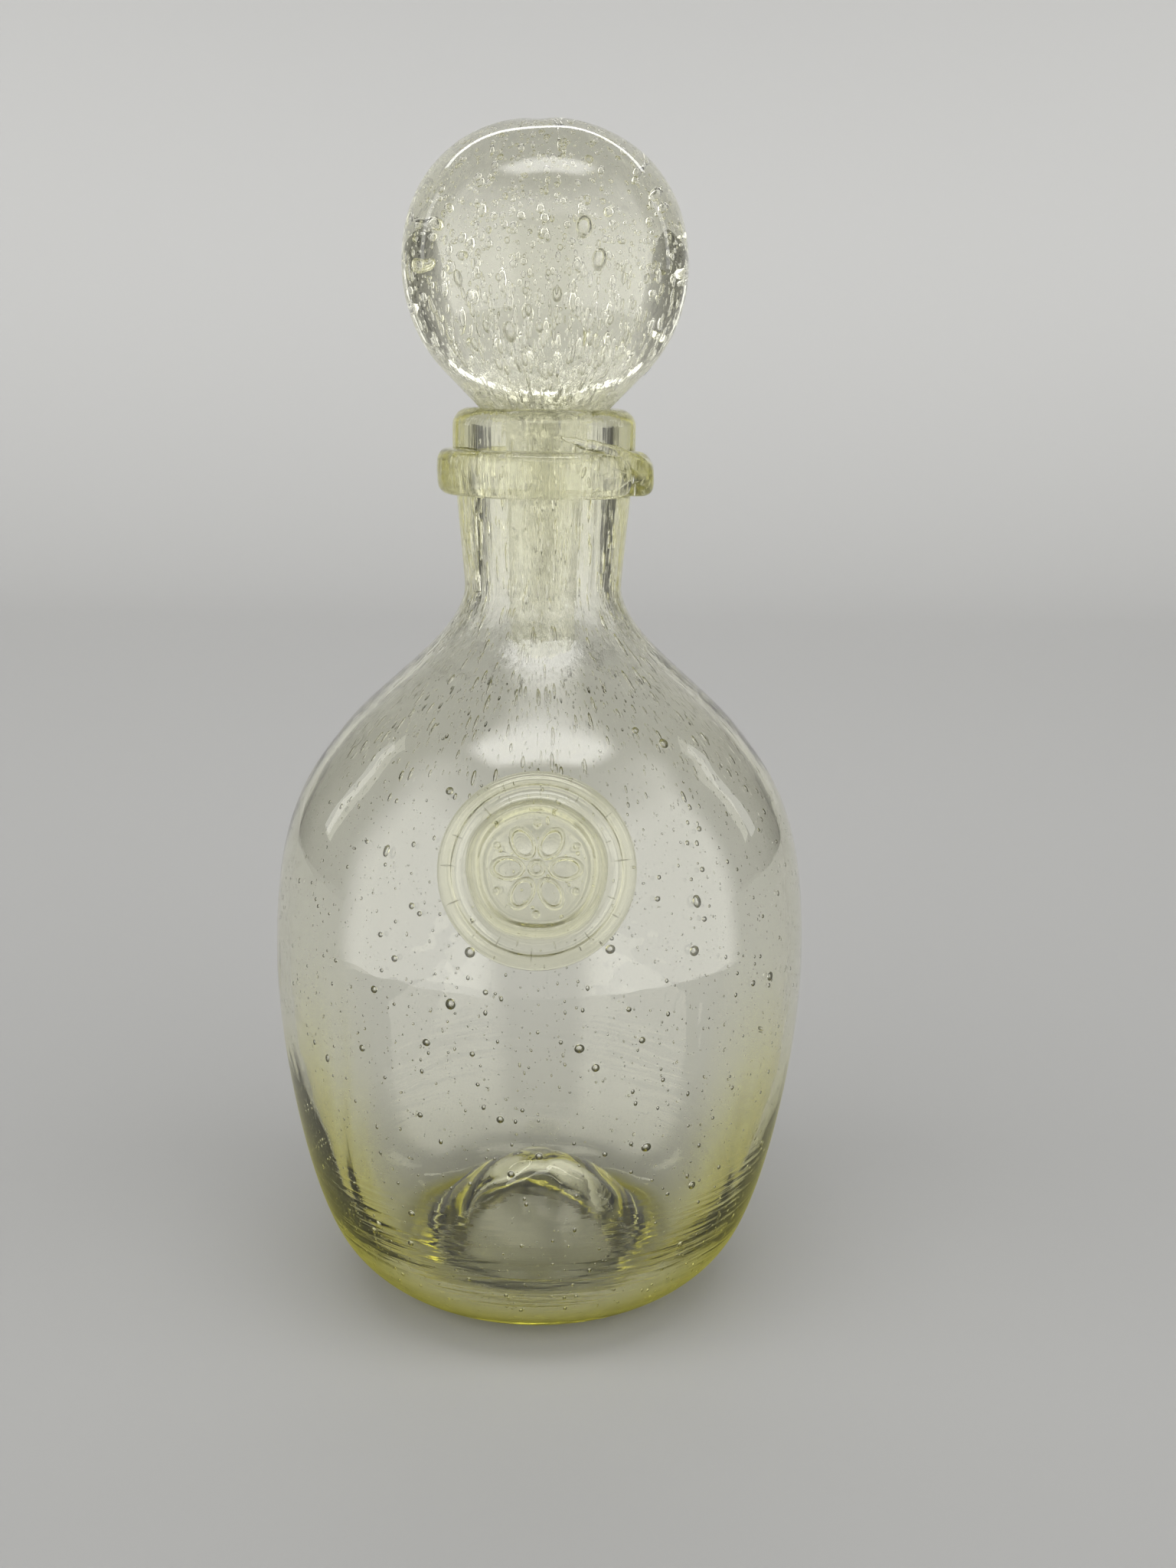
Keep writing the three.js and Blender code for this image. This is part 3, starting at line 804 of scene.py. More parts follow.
# %% Seal
FLANGE_THICKNESS = 1.8 * MM
FLANGE_CROWN = 57 * MM
SEAL_EDGE = 1.2 * MM
RIM_OUTER = 13.7 * MM
RIM_INNER = 11.8 * MM
FIELD_HEIGHT = 1.3 * MM
RIM_HEIGHT = 1.1 * MM
RIM_FOOT = 1.2 * MM
SEAL_SINK = 0.4 * MM
PETALS = 6
PETAL_MIDDLE = 5.9 * MM
PETAL_HALF_LENGTH = 3.1 * MM
PETAL_HALF_WIDTH = 2.1 * MM
PETAL_RELIEF = 1.2 * MM
BEAD_RELIEF = PETAL_RELIEF * 0.7
CORD_HALF_WIDTH = 0.54 * MM
BOSS_RADIUS = 1.3 * MM
BEAD_RADIUS = 0.8 * MM
BEAD_MIDDLE = 9.3 * MM
ROLL_MIDDLE = 18.7 * MM
ROLL_HALF_WIDTH = 1.2 * MM
ROLL_HEIGHT = 0.8 * MM
HOLLOW_MIDDLE = 16.4 * MM
HOLLOW_DEPTH = 0.4 * MM
RIM_WANDER = 0.25 * MM
RIM_INNER_FOOT = 0.7 * MM
FIELD_RIPPLE = 0.06 * MM
RIPPLES_PER_METRE = 900
RIPPLE_FADE = (0, 4 * MM)
FIRST_RING = 0.12 * MM
LAST_RING = 0.5 * MM
SEAL_AROUND = 256
FRONT_ROWS = 92
BACK_ROWS = 20
EDGE_DEGREES = np.linspace(15, 90, 6)
SEAL_DENSITY = TINT_DENSITY * 2.8
SEAL_LAYERS = ((ALL_ROUND, 230, 2.0, 0.0, 0.12 * MM, None),)
rim_wave = waves(seed=17, count=4, rounds=(2, 5), rises=(0, 1))


def dome(square, width, height):
    """A rounded swelling that ends where the distance, which is given squared, is the width."""
    return height * np.sqrt(np.clip(1 - square / width**2, 0, 1))


def rosette(radius, turn):
    """Petals and a boss drawn as cords, with a bead between each two petals."""
    spread = 2 * math.pi / PETALS
    off = (turn + spread / 2) % spread - spread / 2
    between = turn % spread - spread / 2
    across = radius * np.sin(off) * PETAL_HALF_LENGTH / PETAL_HALF_WIDTH
    along = radius * np.cos(off) - PETAL_MIDDLE
    edge_off = np.sqrt(along**2 + across**2) - PETAL_HALF_LENGTH
    relief = dome(edge_off**2, CORD_HALF_WIDTH, PETAL_RELIEF)
    relief = np.maximum(relief, dome((radius - BOSS_RADIUS) ** 2, CORD_HALF_WIDTH, PETAL_RELIEF))
    bead = (radius * np.cos(between) - BEAD_MIDDLE) ** 2 + (radius * np.sin(between)) ** 2
    return np.maximum(relief, dome(bead, BEAD_RADIUS, BEAD_RELIEF))


def flange(radius):
    """The pad outside the rim: crowned, with a hollow and then a roll near its edge."""
    crowned = FLANGE_THICKNESS - FLANGE_CROWN + np.sqrt(FLANGE_CROWN**2 - radius**2)
    roll = dome((radius - ROLL_MIDDLE) ** 2, ROLL_HALF_WIDTH, ROLL_HEIGHT)
    hollow = dome((radius - HOLLOW_MIDDLE) ** 2, ROLL_HALF_WIDTH, HOLLOW_DEPTH)
    return crowned + roll - hollow


def seal_front(radius, turn):
    """Height of the front over the seal's plane."""
    wander = RIM_WANDER * rim_wave(turn, 0)
    inner = RIM_INNER + wander
    outer = RIM_OUTER + wander + RIM_FOOT
    ripple = FIELD_RIPPLE * np.sin(RIPPLES_PER_METRE * radius) * ease(*RIPPLE_FADE, radius)
    field = FIELD_HEIGHT + rosette(radius, turn) + ripple
    top = FIELD_HEIGHT + RIM_HEIGHT
    crest = (inner + outer - RIM_FOOT) / 2
    rise = ease(inner - RIM_INNER_FOOT, crest, radius)
    fall = ease(crest, outer, radius)
    inside = field * (1 - rise) + top * rise
    return np.where(radius < crest, inside, top + (flange(radius) - top) * fall)


def seal_mesh():
    turn = np.linspace(0, 2 * math.pi, SEAL_AROUND, endpoint=False)[None, :]

    def ring_rows(radius, out):
        return on_seal(radius * np.cos(turn), radius * np.sin(turn), out)

    edge_start = SEAL_RADIUS - SEAL_EDGE
    front_radius = np.linspace(FIRST_RING, edge_start, FRONT_ROWS)[:, None] + 0 * turn
    angle = np.radians(EDGE_DEGREES)[:, None]
    edge_radius = edge_start + SEAL_EDGE * np.sin(angle) + 0 * turn
    edge_out = flange(edge_start) - SEAL_EDGE * (1 - np.cos(angle)) + 0 * turn
    back_radius = np.linspace(SEAL_RADIUS, LAST_RING, BACK_ROWS)[:, None] + 0 * turn
    seat = shoulder_under(back_radius * np.cos(turn), back_radius * np.sin(turn))
    front = ring_rows(front_radius, seal_front(front_radius, turn))
    back = ring_rows(back_radius, seat - SEAL_SINK)
    rows = np.concatenate([front, ring_rows(edge_radius, edge_out), back])
    first = front[0].mean(axis=0)
    last = back[-1].mean(axis=0)
    return ring_mesh("shoulder_seal", rows[:, ::-1], first, last)


seal_glass = glass_material("seal_glass", SEAL_DENSITY, SEAL_LAYERS)
seal = link("shoulder_seal", seal_mesh(), seal_glass)
told(seal)

# %% [markdown]
# The bubbles are seeds of air left in the melt. They are round where the glass stayed still and
# drawn to needles where it was pulled, as in the neck. Thousands of them follow a surface, so
# Geometry Nodes make them: points are scattered on a sheet in the middle of the wall, pushed a
# little to either side, and each carries a small sphere, stretched along the way the glass was
# pulled. A second tree puts a rounder sphere on every point that it is given.

# %% Trees for bubbles
SEED_SEGMENTS = 8
SEED_RINGS = 4
LARGE_SEGMENTS = 20
LARGE_RINGS = 12
STRETCH_SPREAD = (0.6, 1.3)
SEED_ATTRIBUTES = ("crowding", "stretch", "flow", "size")
SEED_INPUTS = (
    ("Count per square metre", "NodeSocketFloat"),
    ("Smallest", "NodeSocketFloat"),
    ("Largest", "NodeSocketFloat"),
    ("Rareness", "NodeSocketFloat"),
    ("Depth", "NodeSocketFloat"),
    ("Seed", "NodeSocketInt"),
    ("Glass", "NodeSocketMaterial"),
)


def new_tree(name, inputs):
    tree = bpy.data.node_groups.new(name, "GeometryNodeTree")
    tree.interface.new_socket(name="Geometry", in_out="INPUT", socket_type="NodeSocketGeometry")
    for label, kind in inputs:
        tree.interface.new_socket(name=label, in_out="INPUT", socket_type=kind)
    tree.interface.new_socket(name="Geometry", in_out="OUTPUT", socket_type="NodeSocketGeometry")
    return tree, tree.nodes.new("NodeGroupInput").outputs


def random_value(tree, low, high, seed):
    return result(add(tree, "FunctionNodeRandomValue", Min=low, Max=high, Seed=seed))


def attribute(tree, name, kind="FLOAT"):
    return result(add(tree, "GeometryNodeInputNamedAttribute", name, settings={"data_type": kind}))


def grow_seeds(tree, points, size, length, segments, rings, glass):
    """Puts a stretched sphere on every point, lying along flow, and ends the tree."""
    ball = add(tree, "GeometryNodeMeshUVSphere", segments, rings, 1.0).outputs["Mesh"]
    scale = result(add(tree, "ShaderNodeCombineXYZ", size, size, length))
    flow = attribute(tree, "flow", "FLOAT_VECTOR")
    turn = add(tree, "FunctionNodeAlignRotationToVector", Vector=flow, settings={"axis": "Z"})
    ways = {"Points": points, "Instance": ball, "Rotation": result(turn), "Scale": scale}
    copies = add(tree, "GeometryNodeInstanceOnPoints", **ways)
    real = add(tree, "GeometryNodeRealizeInstances", result(copies))
    smooth = add(tree, "GeometryNodeSetShadeSmooth", Geometry=result(real), Shade_Smooth=True)
    finished = add(tree, "GeometryNodeSetMaterial", Geometry=result(smooth), Material=glass)
    add(tree, "NodeGroupOutput", result(finished))


def scatter_tree():
    tree, given = new_tree("scattered_seeds", SEED_INPUTS)
    crowding = attribute(tree, "crowding")
    density = math_node(tree, "MULTIPLY", given["Count per square metre"], crowding)
    where = {"Mesh": given["Geometry"], "Density": density, "Seed": given["Seed"]}
    scatter = add(tree, "GeometryNodeDistributePointsOnFaces", **where).outputs
    lowest = math_node(tree, "MULTIPLY", given["Depth"], -1.0)
    depth = random_value(tree, lowest, given["Depth"], 1)
    settings = {"operation": "SCALE"}
    offset = add(tree, "ShaderNodeVectorMath", scatter["Normal"], Scale=depth, settings=settings)
    sunk = {"Geometry": scatter["Points"], "Offset": result(offset)}
    moved = add(tree, "GeometryNodeSetPosition", **sunk)
    chance = math_node(tree, "POWER", random_value(tree, 0.0, 1.0, 2), given["Rareness"])
    spread = math_node(tree, "SUBTRACT", given["Largest"], given["Smallest"])
    size = math_node(tree, "MULTIPLY_ADD", chance, spread, given["Smallest"])
    unequal = random_value(tree, *STRETCH_SPREAD, 3)
    pull = math_node(tree, "MULTIPLY", attribute(tree, "stretch"), unequal)
    length = math_node(tree, "MULTIPLY", size, math_node(tree, "MAXIMUM", pull, 1.0))
    grow_seeds(tree, result(moved), size, length, SEED_SEGMENTS, SEED_RINGS, given["Glass"])
    return tree


def placed_tree():
    tree, given = new_tree("placed_seeds", SEED_INPUTS[-1:])
    points = add(tree, "GeometryNodeMeshToPoints", given["Geometry"])
    size = attribute(tree, "size")
    length = math_node(tree, "MULTIPLY", size, attribute(tree, "stretch"))
    grow_seeds(tree, result(points), size, length, LARGE_SEGMENTS, LARGE_RINGS, given["Glass"])
    return tree


scattered = scatter_tree()
placed = placed_tree()
for tree in (scattered, placed):
    print(tree.name, "has", len(tree.nodes), "nodes")

# %% [markdown]
# A sheet is an open turned surface that is thrown away once the bubbles are grown. It holds three
# attributes, which the tree reads at every point: how crowded the bubbles are, how far they are
# stretched and which way the glass flowed. A bubble is air in glass, so its surface bends light
# the other way round: its index is 1 divided by that of the glass.

# %% Sheets of bubbles
def give(mesh, name, values):
    """Stores one number or one direction for every point of a mesh."""
    values = np.asarray(values, np.float32)
    vector = values.ndim == 2
    layer = mesh.attributes.new(name, "FLOAT_VECTOR" if vector else "FLOAT", "POINT")
    layer.data.foreach_set("vector" if vector else "value", values.ravel())


def seeded(name, sheet, tree, values, body):
    """Runs a tree on a sheet and keeps only the bubbles, as one plain mesh on a body."""
    carrier = link(name + "_sheet", sheet)
    modifier = carrier.modifiers.new("seeds", "NODES")
    modifier.node_group = tree
    for item in tree.interface.items_tree:
        if item.in_out == "INPUT" and item.name in values:
            modifier[item.identifier] = values[item.name]
    carrier.update_tag()
    graph = bpy.context.evaluated_depsgraph_get()
    mesh = bpy.data.meshes.new_from_object(carrier.evaluated_get(graph))
    bpy.data.objects.remove(carrier)
    for layer in [a.name for a in mesh.attributes if a.name in SEED_ATTRIBUTES]:
        mesh.attributes.remove(mesh.attributes[layer])
    piece = link(name, mesh)
    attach(piece, body)
    told(piece)


def sheet_mesh(name, outline, segments, crowding, stretch):
    """An open turned sheet with its crowding and stretch by height, and its flow up the outline."""
    rows = turned_rows(outline, segments)
    mesh = ring_mesh(name, rows)
    tangent = np.gradient(outline, axis=0)
    tangent /= np.linalg.norm(tangent, axis=1)[:, None]
    turn = np.linspace(0, 2 * math.pi, segments, endpoint=False)[None, :]
    out, up = tangent[:, :1], tangent[:, 1:]
    flow = np.stack([out * np.cos(turn), out * np.sin(turn), up + 0 * turn], -1)
    height = rows[..., 2].ravel()
    give(mesh, "crowding", crowding(height))
    give(mesh, "stretch", stretch(height))
    give(mesh, "flow", flow.reshape(-1, 3))
    return mesh


air = bpy.data.materials.new("bubble_air")
air.use_nodes = True
air.node_tree.nodes.clear()
clear = {"Color": (1, 1, 1, 1), "Roughness": 0.0, "IOR": 1 / GLASS_IOR}
air_surface = add(air.node_tree, "ShaderNodeBsdfGlass", **clear)
add(air.node_tree, "ShaderNodeOutputMaterial", Surface=result(air_surface))
print("index of a bubble", round(1 / GLASS_IOR, 3))

# %% [markdown]
# In the bottle the bubbles are few and round in the belly, a little closer in the heel, longer
# up the shoulder and as fine as hair in the neck and the ring. A sheet halfway through the wall
# carries them, cut into body, shoulder and neck so that no piece grows too large for one mesh,
# and the ring has a small sheet of its own. How crowded and how long they are depends on the
# height, and the parts of the wall overlap a little, so that no bare belt shows between them.

# %% Seeds of the bottle
SIDE_SHARE = 0.99
# Every 3 mm up the body and every 2 mm up the neck
WALL_HEIGHTS = np.concatenate([np.arange(9, 168, 3), np.arange(168, 203, 2)]) * MM
BODY_REACH = (0, 121 * MM)
SHOULDER_REACH = (119 * MM, 168 * MM)
NECK_REACH = (158 * MM, LIP_HEIGHT)
RING_SHEET_RADIUS = 21.9 * MM
RING_SHEET_HEIGHTS = TRAIL_HEIGHT + np.linspace(-3, 3, 7) * MM


def middle_line():
    """Halfway through the wall, from above the foot to below the lip, without the kick."""
    side = inner_line[:, 0] > BASE_LOW_POINT[0] * SIDE_SHARE
    wall = inner_line[side | (inner_line[:, 1] > BELLY_HEIGHT)]
    wall = wall[np.argsort(wall[:, 1])]
    inside = np.interp(WALL_HEIGHTS, wall[:, 1], wall[:, 0])
    outside = np.interp(WALL_HEIGHTS, outer_line[:, 1], outer_line[:, 0])
    return np.stack([(inside + outside) / 2, WALL_HEIGHTS], 1)


def part_of_wall(low, high):
    return wall_line[(wall_line[:, 1] > low) & (wall_line[:, 1] < high)]


def by_height(base, *steps):
    """A function of height: a base, and steps that each add an amount between two heights."""

    def at(height):
        total = base + 0 * height
        for amount, start, full in steps:
            total = total + amount * ease(start, full, height)
        return total

    return at


wall_line = middle_line()
ring_line = np.stack([0 * RING_SHEET_HEIGHTS + RING_SHEET_RADIUS, RING_SHEET_HEIGHTS], 1)
# The wall has more of them in the heel, and again from the shoulder up, where they lengthen
wall_crowding = by_height(2.4, (0.6, 40 * MM, 15 * MM), (3, 122 * MM, 152 * MM))
wall_stretch = by_height(1.15, (4.6, 118 * MM, 150 * MM))
neck_crowding = by_height(0, (1, 158 * MM, 168 * MM))
neck_stretch = by_height(6.5, (4, 160 * MM, 180 * MM))
ring_crowding = by_height(1)
ring_stretch = by_height(6)
body_values = {
    "Count per square metre": 36000.0,
    "Smallest": 0.14 * MM,
    "Largest": 0.5 * MM,
    "Rareness": 6.0,
    "Depth": 0.85 * MM,
    "Seed": 4,
    "Glass": air,
}
shoulder_values = dict(body_values, Seed=6)
neck_values = {
    "Count per square metre": 110000.0,
    "Smallest": 0.13 * MM,
    "Largest": 0.4 * MM,
    "Rareness": 2.6,
    "Depth": 1.7 * MM,
    "Seed": 9,
    "Glass": air,
}
ring_values = dict(neck_values, Smallest=0.14 * MM, Largest=0.37 * MM, Depth=1.3 * MM, Seed=12)
body_line = part_of_wall(*BODY_REACH)
shoulder_line = part_of_wall(*SHOULDER_REACH)
neck_line = part_of_wall(*NECK_REACH)
for name, line, around, crowding, stretch, values, slot in (
    ("body", body_line, 96, wall_crowding, wall_stretch, body_values, "bottle_glass"),
    ("shoulder", shoulder_line, 96, wall_crowding, wall_stretch, shoulder_values, "bottle_glass"),
    ("neck", neck_line, 72, neck_crowding, neck_stretch, neck_values, "bottle_glass"),
    ("ring", ring_line, 72, ring_crowding, ring_stretch, ring_values, "ring_glass"),
):
    sheet = sheet_mesh(name, line, around, crowding, stretch)
    seeded(name + "_bubbles", sheet, scattered, values, "bottle")

# %% [markdown]
# The stopper is full of seeds all through, so its sheets are nested like the skins of an onion.
# In the ball they shrink towards its middle, and below it only in radius. Bubbles are round in
# the crown, and they lean into the pull of the glass where the ball runs down to the shank. The
# inner skins have the larger ones. The innermost skin ends above the lip, because below it the
# skin would be a bundle of needles in the middle of the shank.

# %% Seeds of the stopper
SKIN_SHARES = (0.2, 0.36, 0.5, 0.62, 0.73, 0.83, 0.91)
SKIN_SEGMENTS = 64
INNERMOST = 0.3
FIRST_SKIN_SEED = 30
INNERMOST_END = LIP_HEIGHT + 9 * MM
SKIN_END = SHANK_END_HEIGHT + 3 * MM
SKIN_LEAST_RADIUS = 0.3 * MM
SKIN_RARENESS = (3, 2)
SKIN_LARGEST = (0.84, 0.34)


def onion_skin(share):
    """The stopper's outline, shrunk to a share of its size."""
    above = stopper_line[:, 1] - ball_height
    floor = INNERMOST_END if share < INNERMOST else SKIN_END
    height = np.where(above > 0, ball_height + above * share, stopper_line[:, 1])
    skin = np.stack([stopper_line[:, 0] * share, height], 1)
    return skin[(height > floor) & (skin[:, 0] > SKIN_LEAST_RADIUS)]


# They lengthen from the middle of the ball down, and once more where the shank is in the mouth
stopper_crowding = by_height(0.8, (0.2, 205 * MM, 214 * MM))
stopper_stretch = by_height(
    1.1,
    (3.4, ball_height + 10 * MM, LIP_HEIGHT + 4 * MM),
    (8, LIP_HEIGHT + 6 * MM, LIP_HEIGHT - 10 * MM),
)
stopper_values = dict(body_values, Smallest=0.1 * MM, Depth=1.4 * MM)
stopper_values["Count per square metre"] = 140000.0
for n, share in enumerate(SKIN_SHARES):
    skin = onion_skin(share)
    sheet = sheet_mesh(f"skin_{n}", skin, SKIN_SEGMENTS, stopper_crowding, stopper_stretch)
    stopper_values["Seed"] = FIRST_SKIN_SEED + n
    stopper_values["Rareness"] = SKIN_RARENESS[0] + SKIN_RARENESS[1] * share
    stopper_values["Largest"] = (SKIN_LARGEST[0] - SKIN_LARGEST[1] * share) * MM
    name = f"stopper_bubbles_{n + 1}"
    seeded(name, sheet, scattered, stopper_values, "stopper")

# %% [markdown]
# Other bubbles are placed one by one, with the second tree: it grows a rounder sphere on every
# point of a mesh, and takes its size and stretch from the point. The first are flat bubbles in
# the fold of the ring, where the end of the trail was pressed down and caught air. They spread
# like a star, and each lies inside the front of the ring, by its pixel.

# %% Folds of the ring
# Pixel, half width and half length in mm, and lean in degrees from level
RING_FOLDS = (
    (806, 615, 0.26, 2.6, -16), (811, 633, 0.22, 2.3, 24), (820, 608, 0.2, 1.6, -62),
    (842, 611, 0.24, 1.7, 52), (843, 635, 0.22, 1.6, -46), (829, 640, 0.2, 1.4, 86),
    (797, 624, 0.2, 2.2, 4), (761, 617, 0.5, 1.3, 74), (768, 630, 0.4, 1.2, 102),
    (776, 640, 0.24, 1.2, 30),
)
FOLD_RADIUS = 22.6 * MM


def lone_bubbles(name, spots, sizes, stretches, flows, body, slot):
    """One piece of bubbles that each have a place, a size, a stretch and a direction."""
    mesh = bpy.data.meshes.new(name)
    mesh.from_pydata(np.array(spots).tolist(), [], [])
    give(mesh, "size", sizes)
    give(mesh, "stretch", stretches)
    give(mesh, "flow", flows)
    seeded(name, mesh, placed, {"Glass": air}, body)


def on_tube(column, row, radius):
    """Where the sight line first meets an upright tube round the axis, or passes nearest to it."""
    start, direction = sight_line(column, row)
    flat_start, flat_way = start[:2], direction[:2]
    square, cross = np.dot(flat_way, flat_way), np.dot(flat_start, flat_way)
    rest = cross * cross - square * (np.dot(flat_start, flat_start) - radius**2)
    return start + direction * ((-cross - math.sqrt(max(rest, 0))) / square)


fold_spots = []
fold_flows = []
for column, row, _, _, lean in RING_FOLDS:
    spot = on_tube(column, row, FOLD_RADIUS)
    along = np.array([-spot[1], spot[0], 0]) / FOLD_RADIUS
    fold_spots.append(spot)
    fold_flows.append(along * heading(lean)[0] + np.array([0, 0, heading(lean)[1]]))
fold_sizes = [f[2] * MM for f in RING_FOLDS]
fold_stretches = [f[3] / f[2] for f in RING_FOLDS]
lone_bubbles(
    "ring_folds", fold_spots, fold_sizes, fold_stretches, fold_flows, "bottle", "ring_glass"
)

# %% [markdown]
# The flange of the seal has short needles of air. The stamp spread the glass outwards, so they
# point away from its middle, as the spokes of a wheel do.

# %% Needles of the seal
# Degrees round the seal from its right, distance from its middle in mm and half length in mm
SEAL_NEEDLES = (
    (-93, 17.2, 1.5), (-118, 16.4, 1.2), (-76, 15.8, 0.9), (-52, 17.0, 1.2), (-20, 16.2, 1.0),
    (7, 17.4, 1.7), (38, 18.2, 1.3), (61, 16.6, 0.8), (88, 15.9, 0.9), (112, 15.2, 1.0),
    (131, 15.4, 1.6), (158, 17.6, 1.1), (178, 18.4, 1.4), (-158, 18.2, 1.4), (-140, 16.8, 0.9),
    (-104, 15.4, 0.7), (-30, 18.6, 0.8), (22, 15.6, 0.7),
)
NEEDLE_RADIUS = 0.13 * MM
NEEDLE_DEPTH = 0.5 * MM
needle_turn = np.radians([n[0] for n in SEAL_NEEDLES])
needle_reach = np.array([n[1] for n in SEAL_NEEDLES]) * MM
across, upward = np.cos(needle_turn), np.sin(needle_turn)
needle_out = flange(needle_reach) - NEEDLE_DEPTH
needle_spots = on_seal(needle_reach * across, needle_reach * upward, needle_out)
needle_flows = np.stack([across, upward, -needle_reach / FLANGE_CROWN], -1) @ seal_turn.T
needle_sizes = [NEEDLE_RADIUS] * len(SEAL_NEEDLES)
needle_stretches = [n[2] * MM / NEEDLE_RADIUS for n in SEAL_NEEDLES]
needle_values = (needle_spots, needle_sizes, needle_stretches, needle_flows)
lone_bubbles("seal_needles", *needle_values, "bottle", "seal_glass")

# %% [markdown]
# The largest bubbles are landmarks, so they lie where the photograph shows them. Each is given
# by its pixel, its half width in pixels and how many times taller than wide it looks. A ray from
# the camera finds the place: on the sheet in the wall for the body, and on an inner ball for the
# stopper, whose glass would swallow a bubble that lay on its surface.

# %% Placed bubbles
BODY_BUBBLES = (
    (589, 1035, 5.5, 1), (828, 957, 5, 1), (864, 974, 6.4, 1.1), (907, 1177, 6.4, 1.4),
    (904, 1241, 7.8, 1), (796, 1239, 6.9, 0.9), (615, 1243, 7.8, 1), (518, 1251, 4.6, 1),
    (500, 1220, 3.7, 1), (540, 1183, 4, 1.1), (550, 1193, 3.5, 1), (508, 1112, 4.6, 1.8),
    (917, 1200, 3.7, 1), (857, 1174, 4, 0.9), (492, 1291, 5, 1), (590, 1310, 7, 1.1),
    (559, 1360, 5.5, 0.9), (756, 1368, 6.9, 0.9), (777, 1393, 5.5, 1), (837, 1357, 4.6, 1),
    (820, 1317, 3.7, 1), (433, 1380, 3.7, 1.5), (477, 1367, 4.6, 1), (635, 1295, 3.7, 1),
    (1000, 1274, 6, 1), (979, 1283, 4.1, 1), (914, 1136, 3.7, 1), (910, 1084, 3.7, 1),
    (618, 1375, 3.6, 1), (654, 1460, 5, 1), (551, 1454, 3.8, 1), (704, 1508, 5.2, 1),
    (668, 1531, 4.8, 1), (842, 1496, 7, 0.9), (789, 1505, 3.6, 1), (900, 1545, 5.4, 1),
    (541, 1581, 4.6, 0.9), (494, 1601, 5, 1), (884, 1620, 4, 1.1), (541, 1619, 4, 1),
)
BALL_BUBBLES = (
    (761, 298, 11, 1.35), (780, 339, 10, 1.45), (603, 363, 6, 1.9), (727, 383, 7, 1.5),
    (691, 403, 5, 1.6), (668, 430, 8, 1.8), (705, 425, 5, 1.4), (638, 423, 4.2, 1.9),
    (657, 214, 4.5, 1), (766, 217, 5.5, 1.1), (628, 360, 3.6, 1), (715, 190, 4, 1),
    (735, 203, 3.6, 1), (838, 363, 4.5, 1.5), (847, 346, 3.8, 1.4), (855, 377, 4.2, 2),
    (784, 267, 3.8, 1), (587, 283, 3.6, 1.3), (655, 470, 4, 2.2), (742, 462, 4, 2.4),
    (625, 445, 5, 1.9), (736, 199, 3.8, 1), (734, 212, 3.4, 1), (687, 235, 4, 1),
    (727, 246, 3.6, 1), (647, 240, 3.4, 1), (606, 227, 3.6, 1), (594, 274, 3.8, 1.1),
    (628, 272, 3.6, 1), (664, 315, 3.8, 1.2), (653, 362, 3.8, 1.4), (628, 330, 3.6, 1.3),
    (731, 324, 3.6, 1.2), (687, 379, 3.8, 1.4), (716, 356, 3.6, 1.3), (562, 296, 3.6, 1.3),
    (556, 346, 4, 1.6), (569, 366, 3.8, 1.7), (841, 452, 4.2, 2.3), (825, 477, 4.2, 2.5),
    (769, 440, 4, 2), (781, 465, 4.2, 2.3), (719, 477, 4, 2.5), (687, 465, 4, 2.3),
    (656, 450, 3.6, 2.2), (612, 465, 4.2, 2.4), (594, 434, 4.2, 2.1), (581, 409, 4, 1.9),
    (794, 415, 4, 1.7), (812, 434, 4.2, 2), (822, 396, 3.8, 1.7),
)
BALL_DEPTH_SHARE = 0.9
BODY_LARGEST = 1.15 * MM
BALL_LARGEST = 2.2 * MM
FLOW_SOURCE = (0, 0, LIP_HEIGHT - 20 * MM)
SEARCH_NEAR = 0.28
SEARCH_FAR = 0.42
SEARCH_STEPS = 1401


def on_wall(column, row):
    """Where the sight line first meets the sheet in the wall, and how far that is."""
    start, direction = sight_line(column, row)
    reach = np.linspace(SEARCH_NEAR, SEARCH_FAR, SEARCH_STEPS)[:, None]
    line = start + direction * reach
    wall_radius = np.interp(line[:, 2], wall_line[:, 1], wall_line[:, 0])
    n = int(np.argmax(np.hypot(line[:, 0], line[:, 1]) < wall_radius))
    return line[n], reach[n, 0]


def on_inner_ball(column, row):
    """Where the sight line meets a ball inside the stopper, or where it passes nearest to it."""
    start, direction = sight_line(column, row)
    centre = np.array([0, 0, ball_height])
    nearest = np.dot(centre - start, direction)
    miss = np.linalg.norm(start + direction * nearest - centre)
    reach = math.sqrt(max((BALL_RADIUS * BALL_DEPTH_SHARE) ** 2 - miss**2, 0))
    return start + direction * (nearest - reach), nearest - reach


def placed_bubbles(name, rows, find, largest, body, slot):
    """Bubbles found by their pixels. They lean away from a point low in the neck."""
    places = []
    sizes = []
    for column, row, half_width, _ in rows:
        spot, distance = find(column, row)
        places.append(spot)
        sizes.append(min(half_width * distance / FOCAL_PIXELS, largest))
    flows = np.array(places) - FLOW_SOURCE
    lone_bubbles(name, places, sizes, [r[3] for r in rows], flows, body, slot)


placed_bubbles("body_large_bubbles", BODY_BUBBLES, on_wall, BODY_LARGEST, "bottle", "bottle_glass")
placed_bubbles(
    "ball_large_bubbles", BALL_BUBBLES, on_inner_ball, BALL_LARGEST, "stopper", "stopper_glass"
)

# %% [markdown]
# Every piece rides on the body that carries it, and stands for the node of the model that it
# makes finer. The bubbles were told their bodies when they were made.

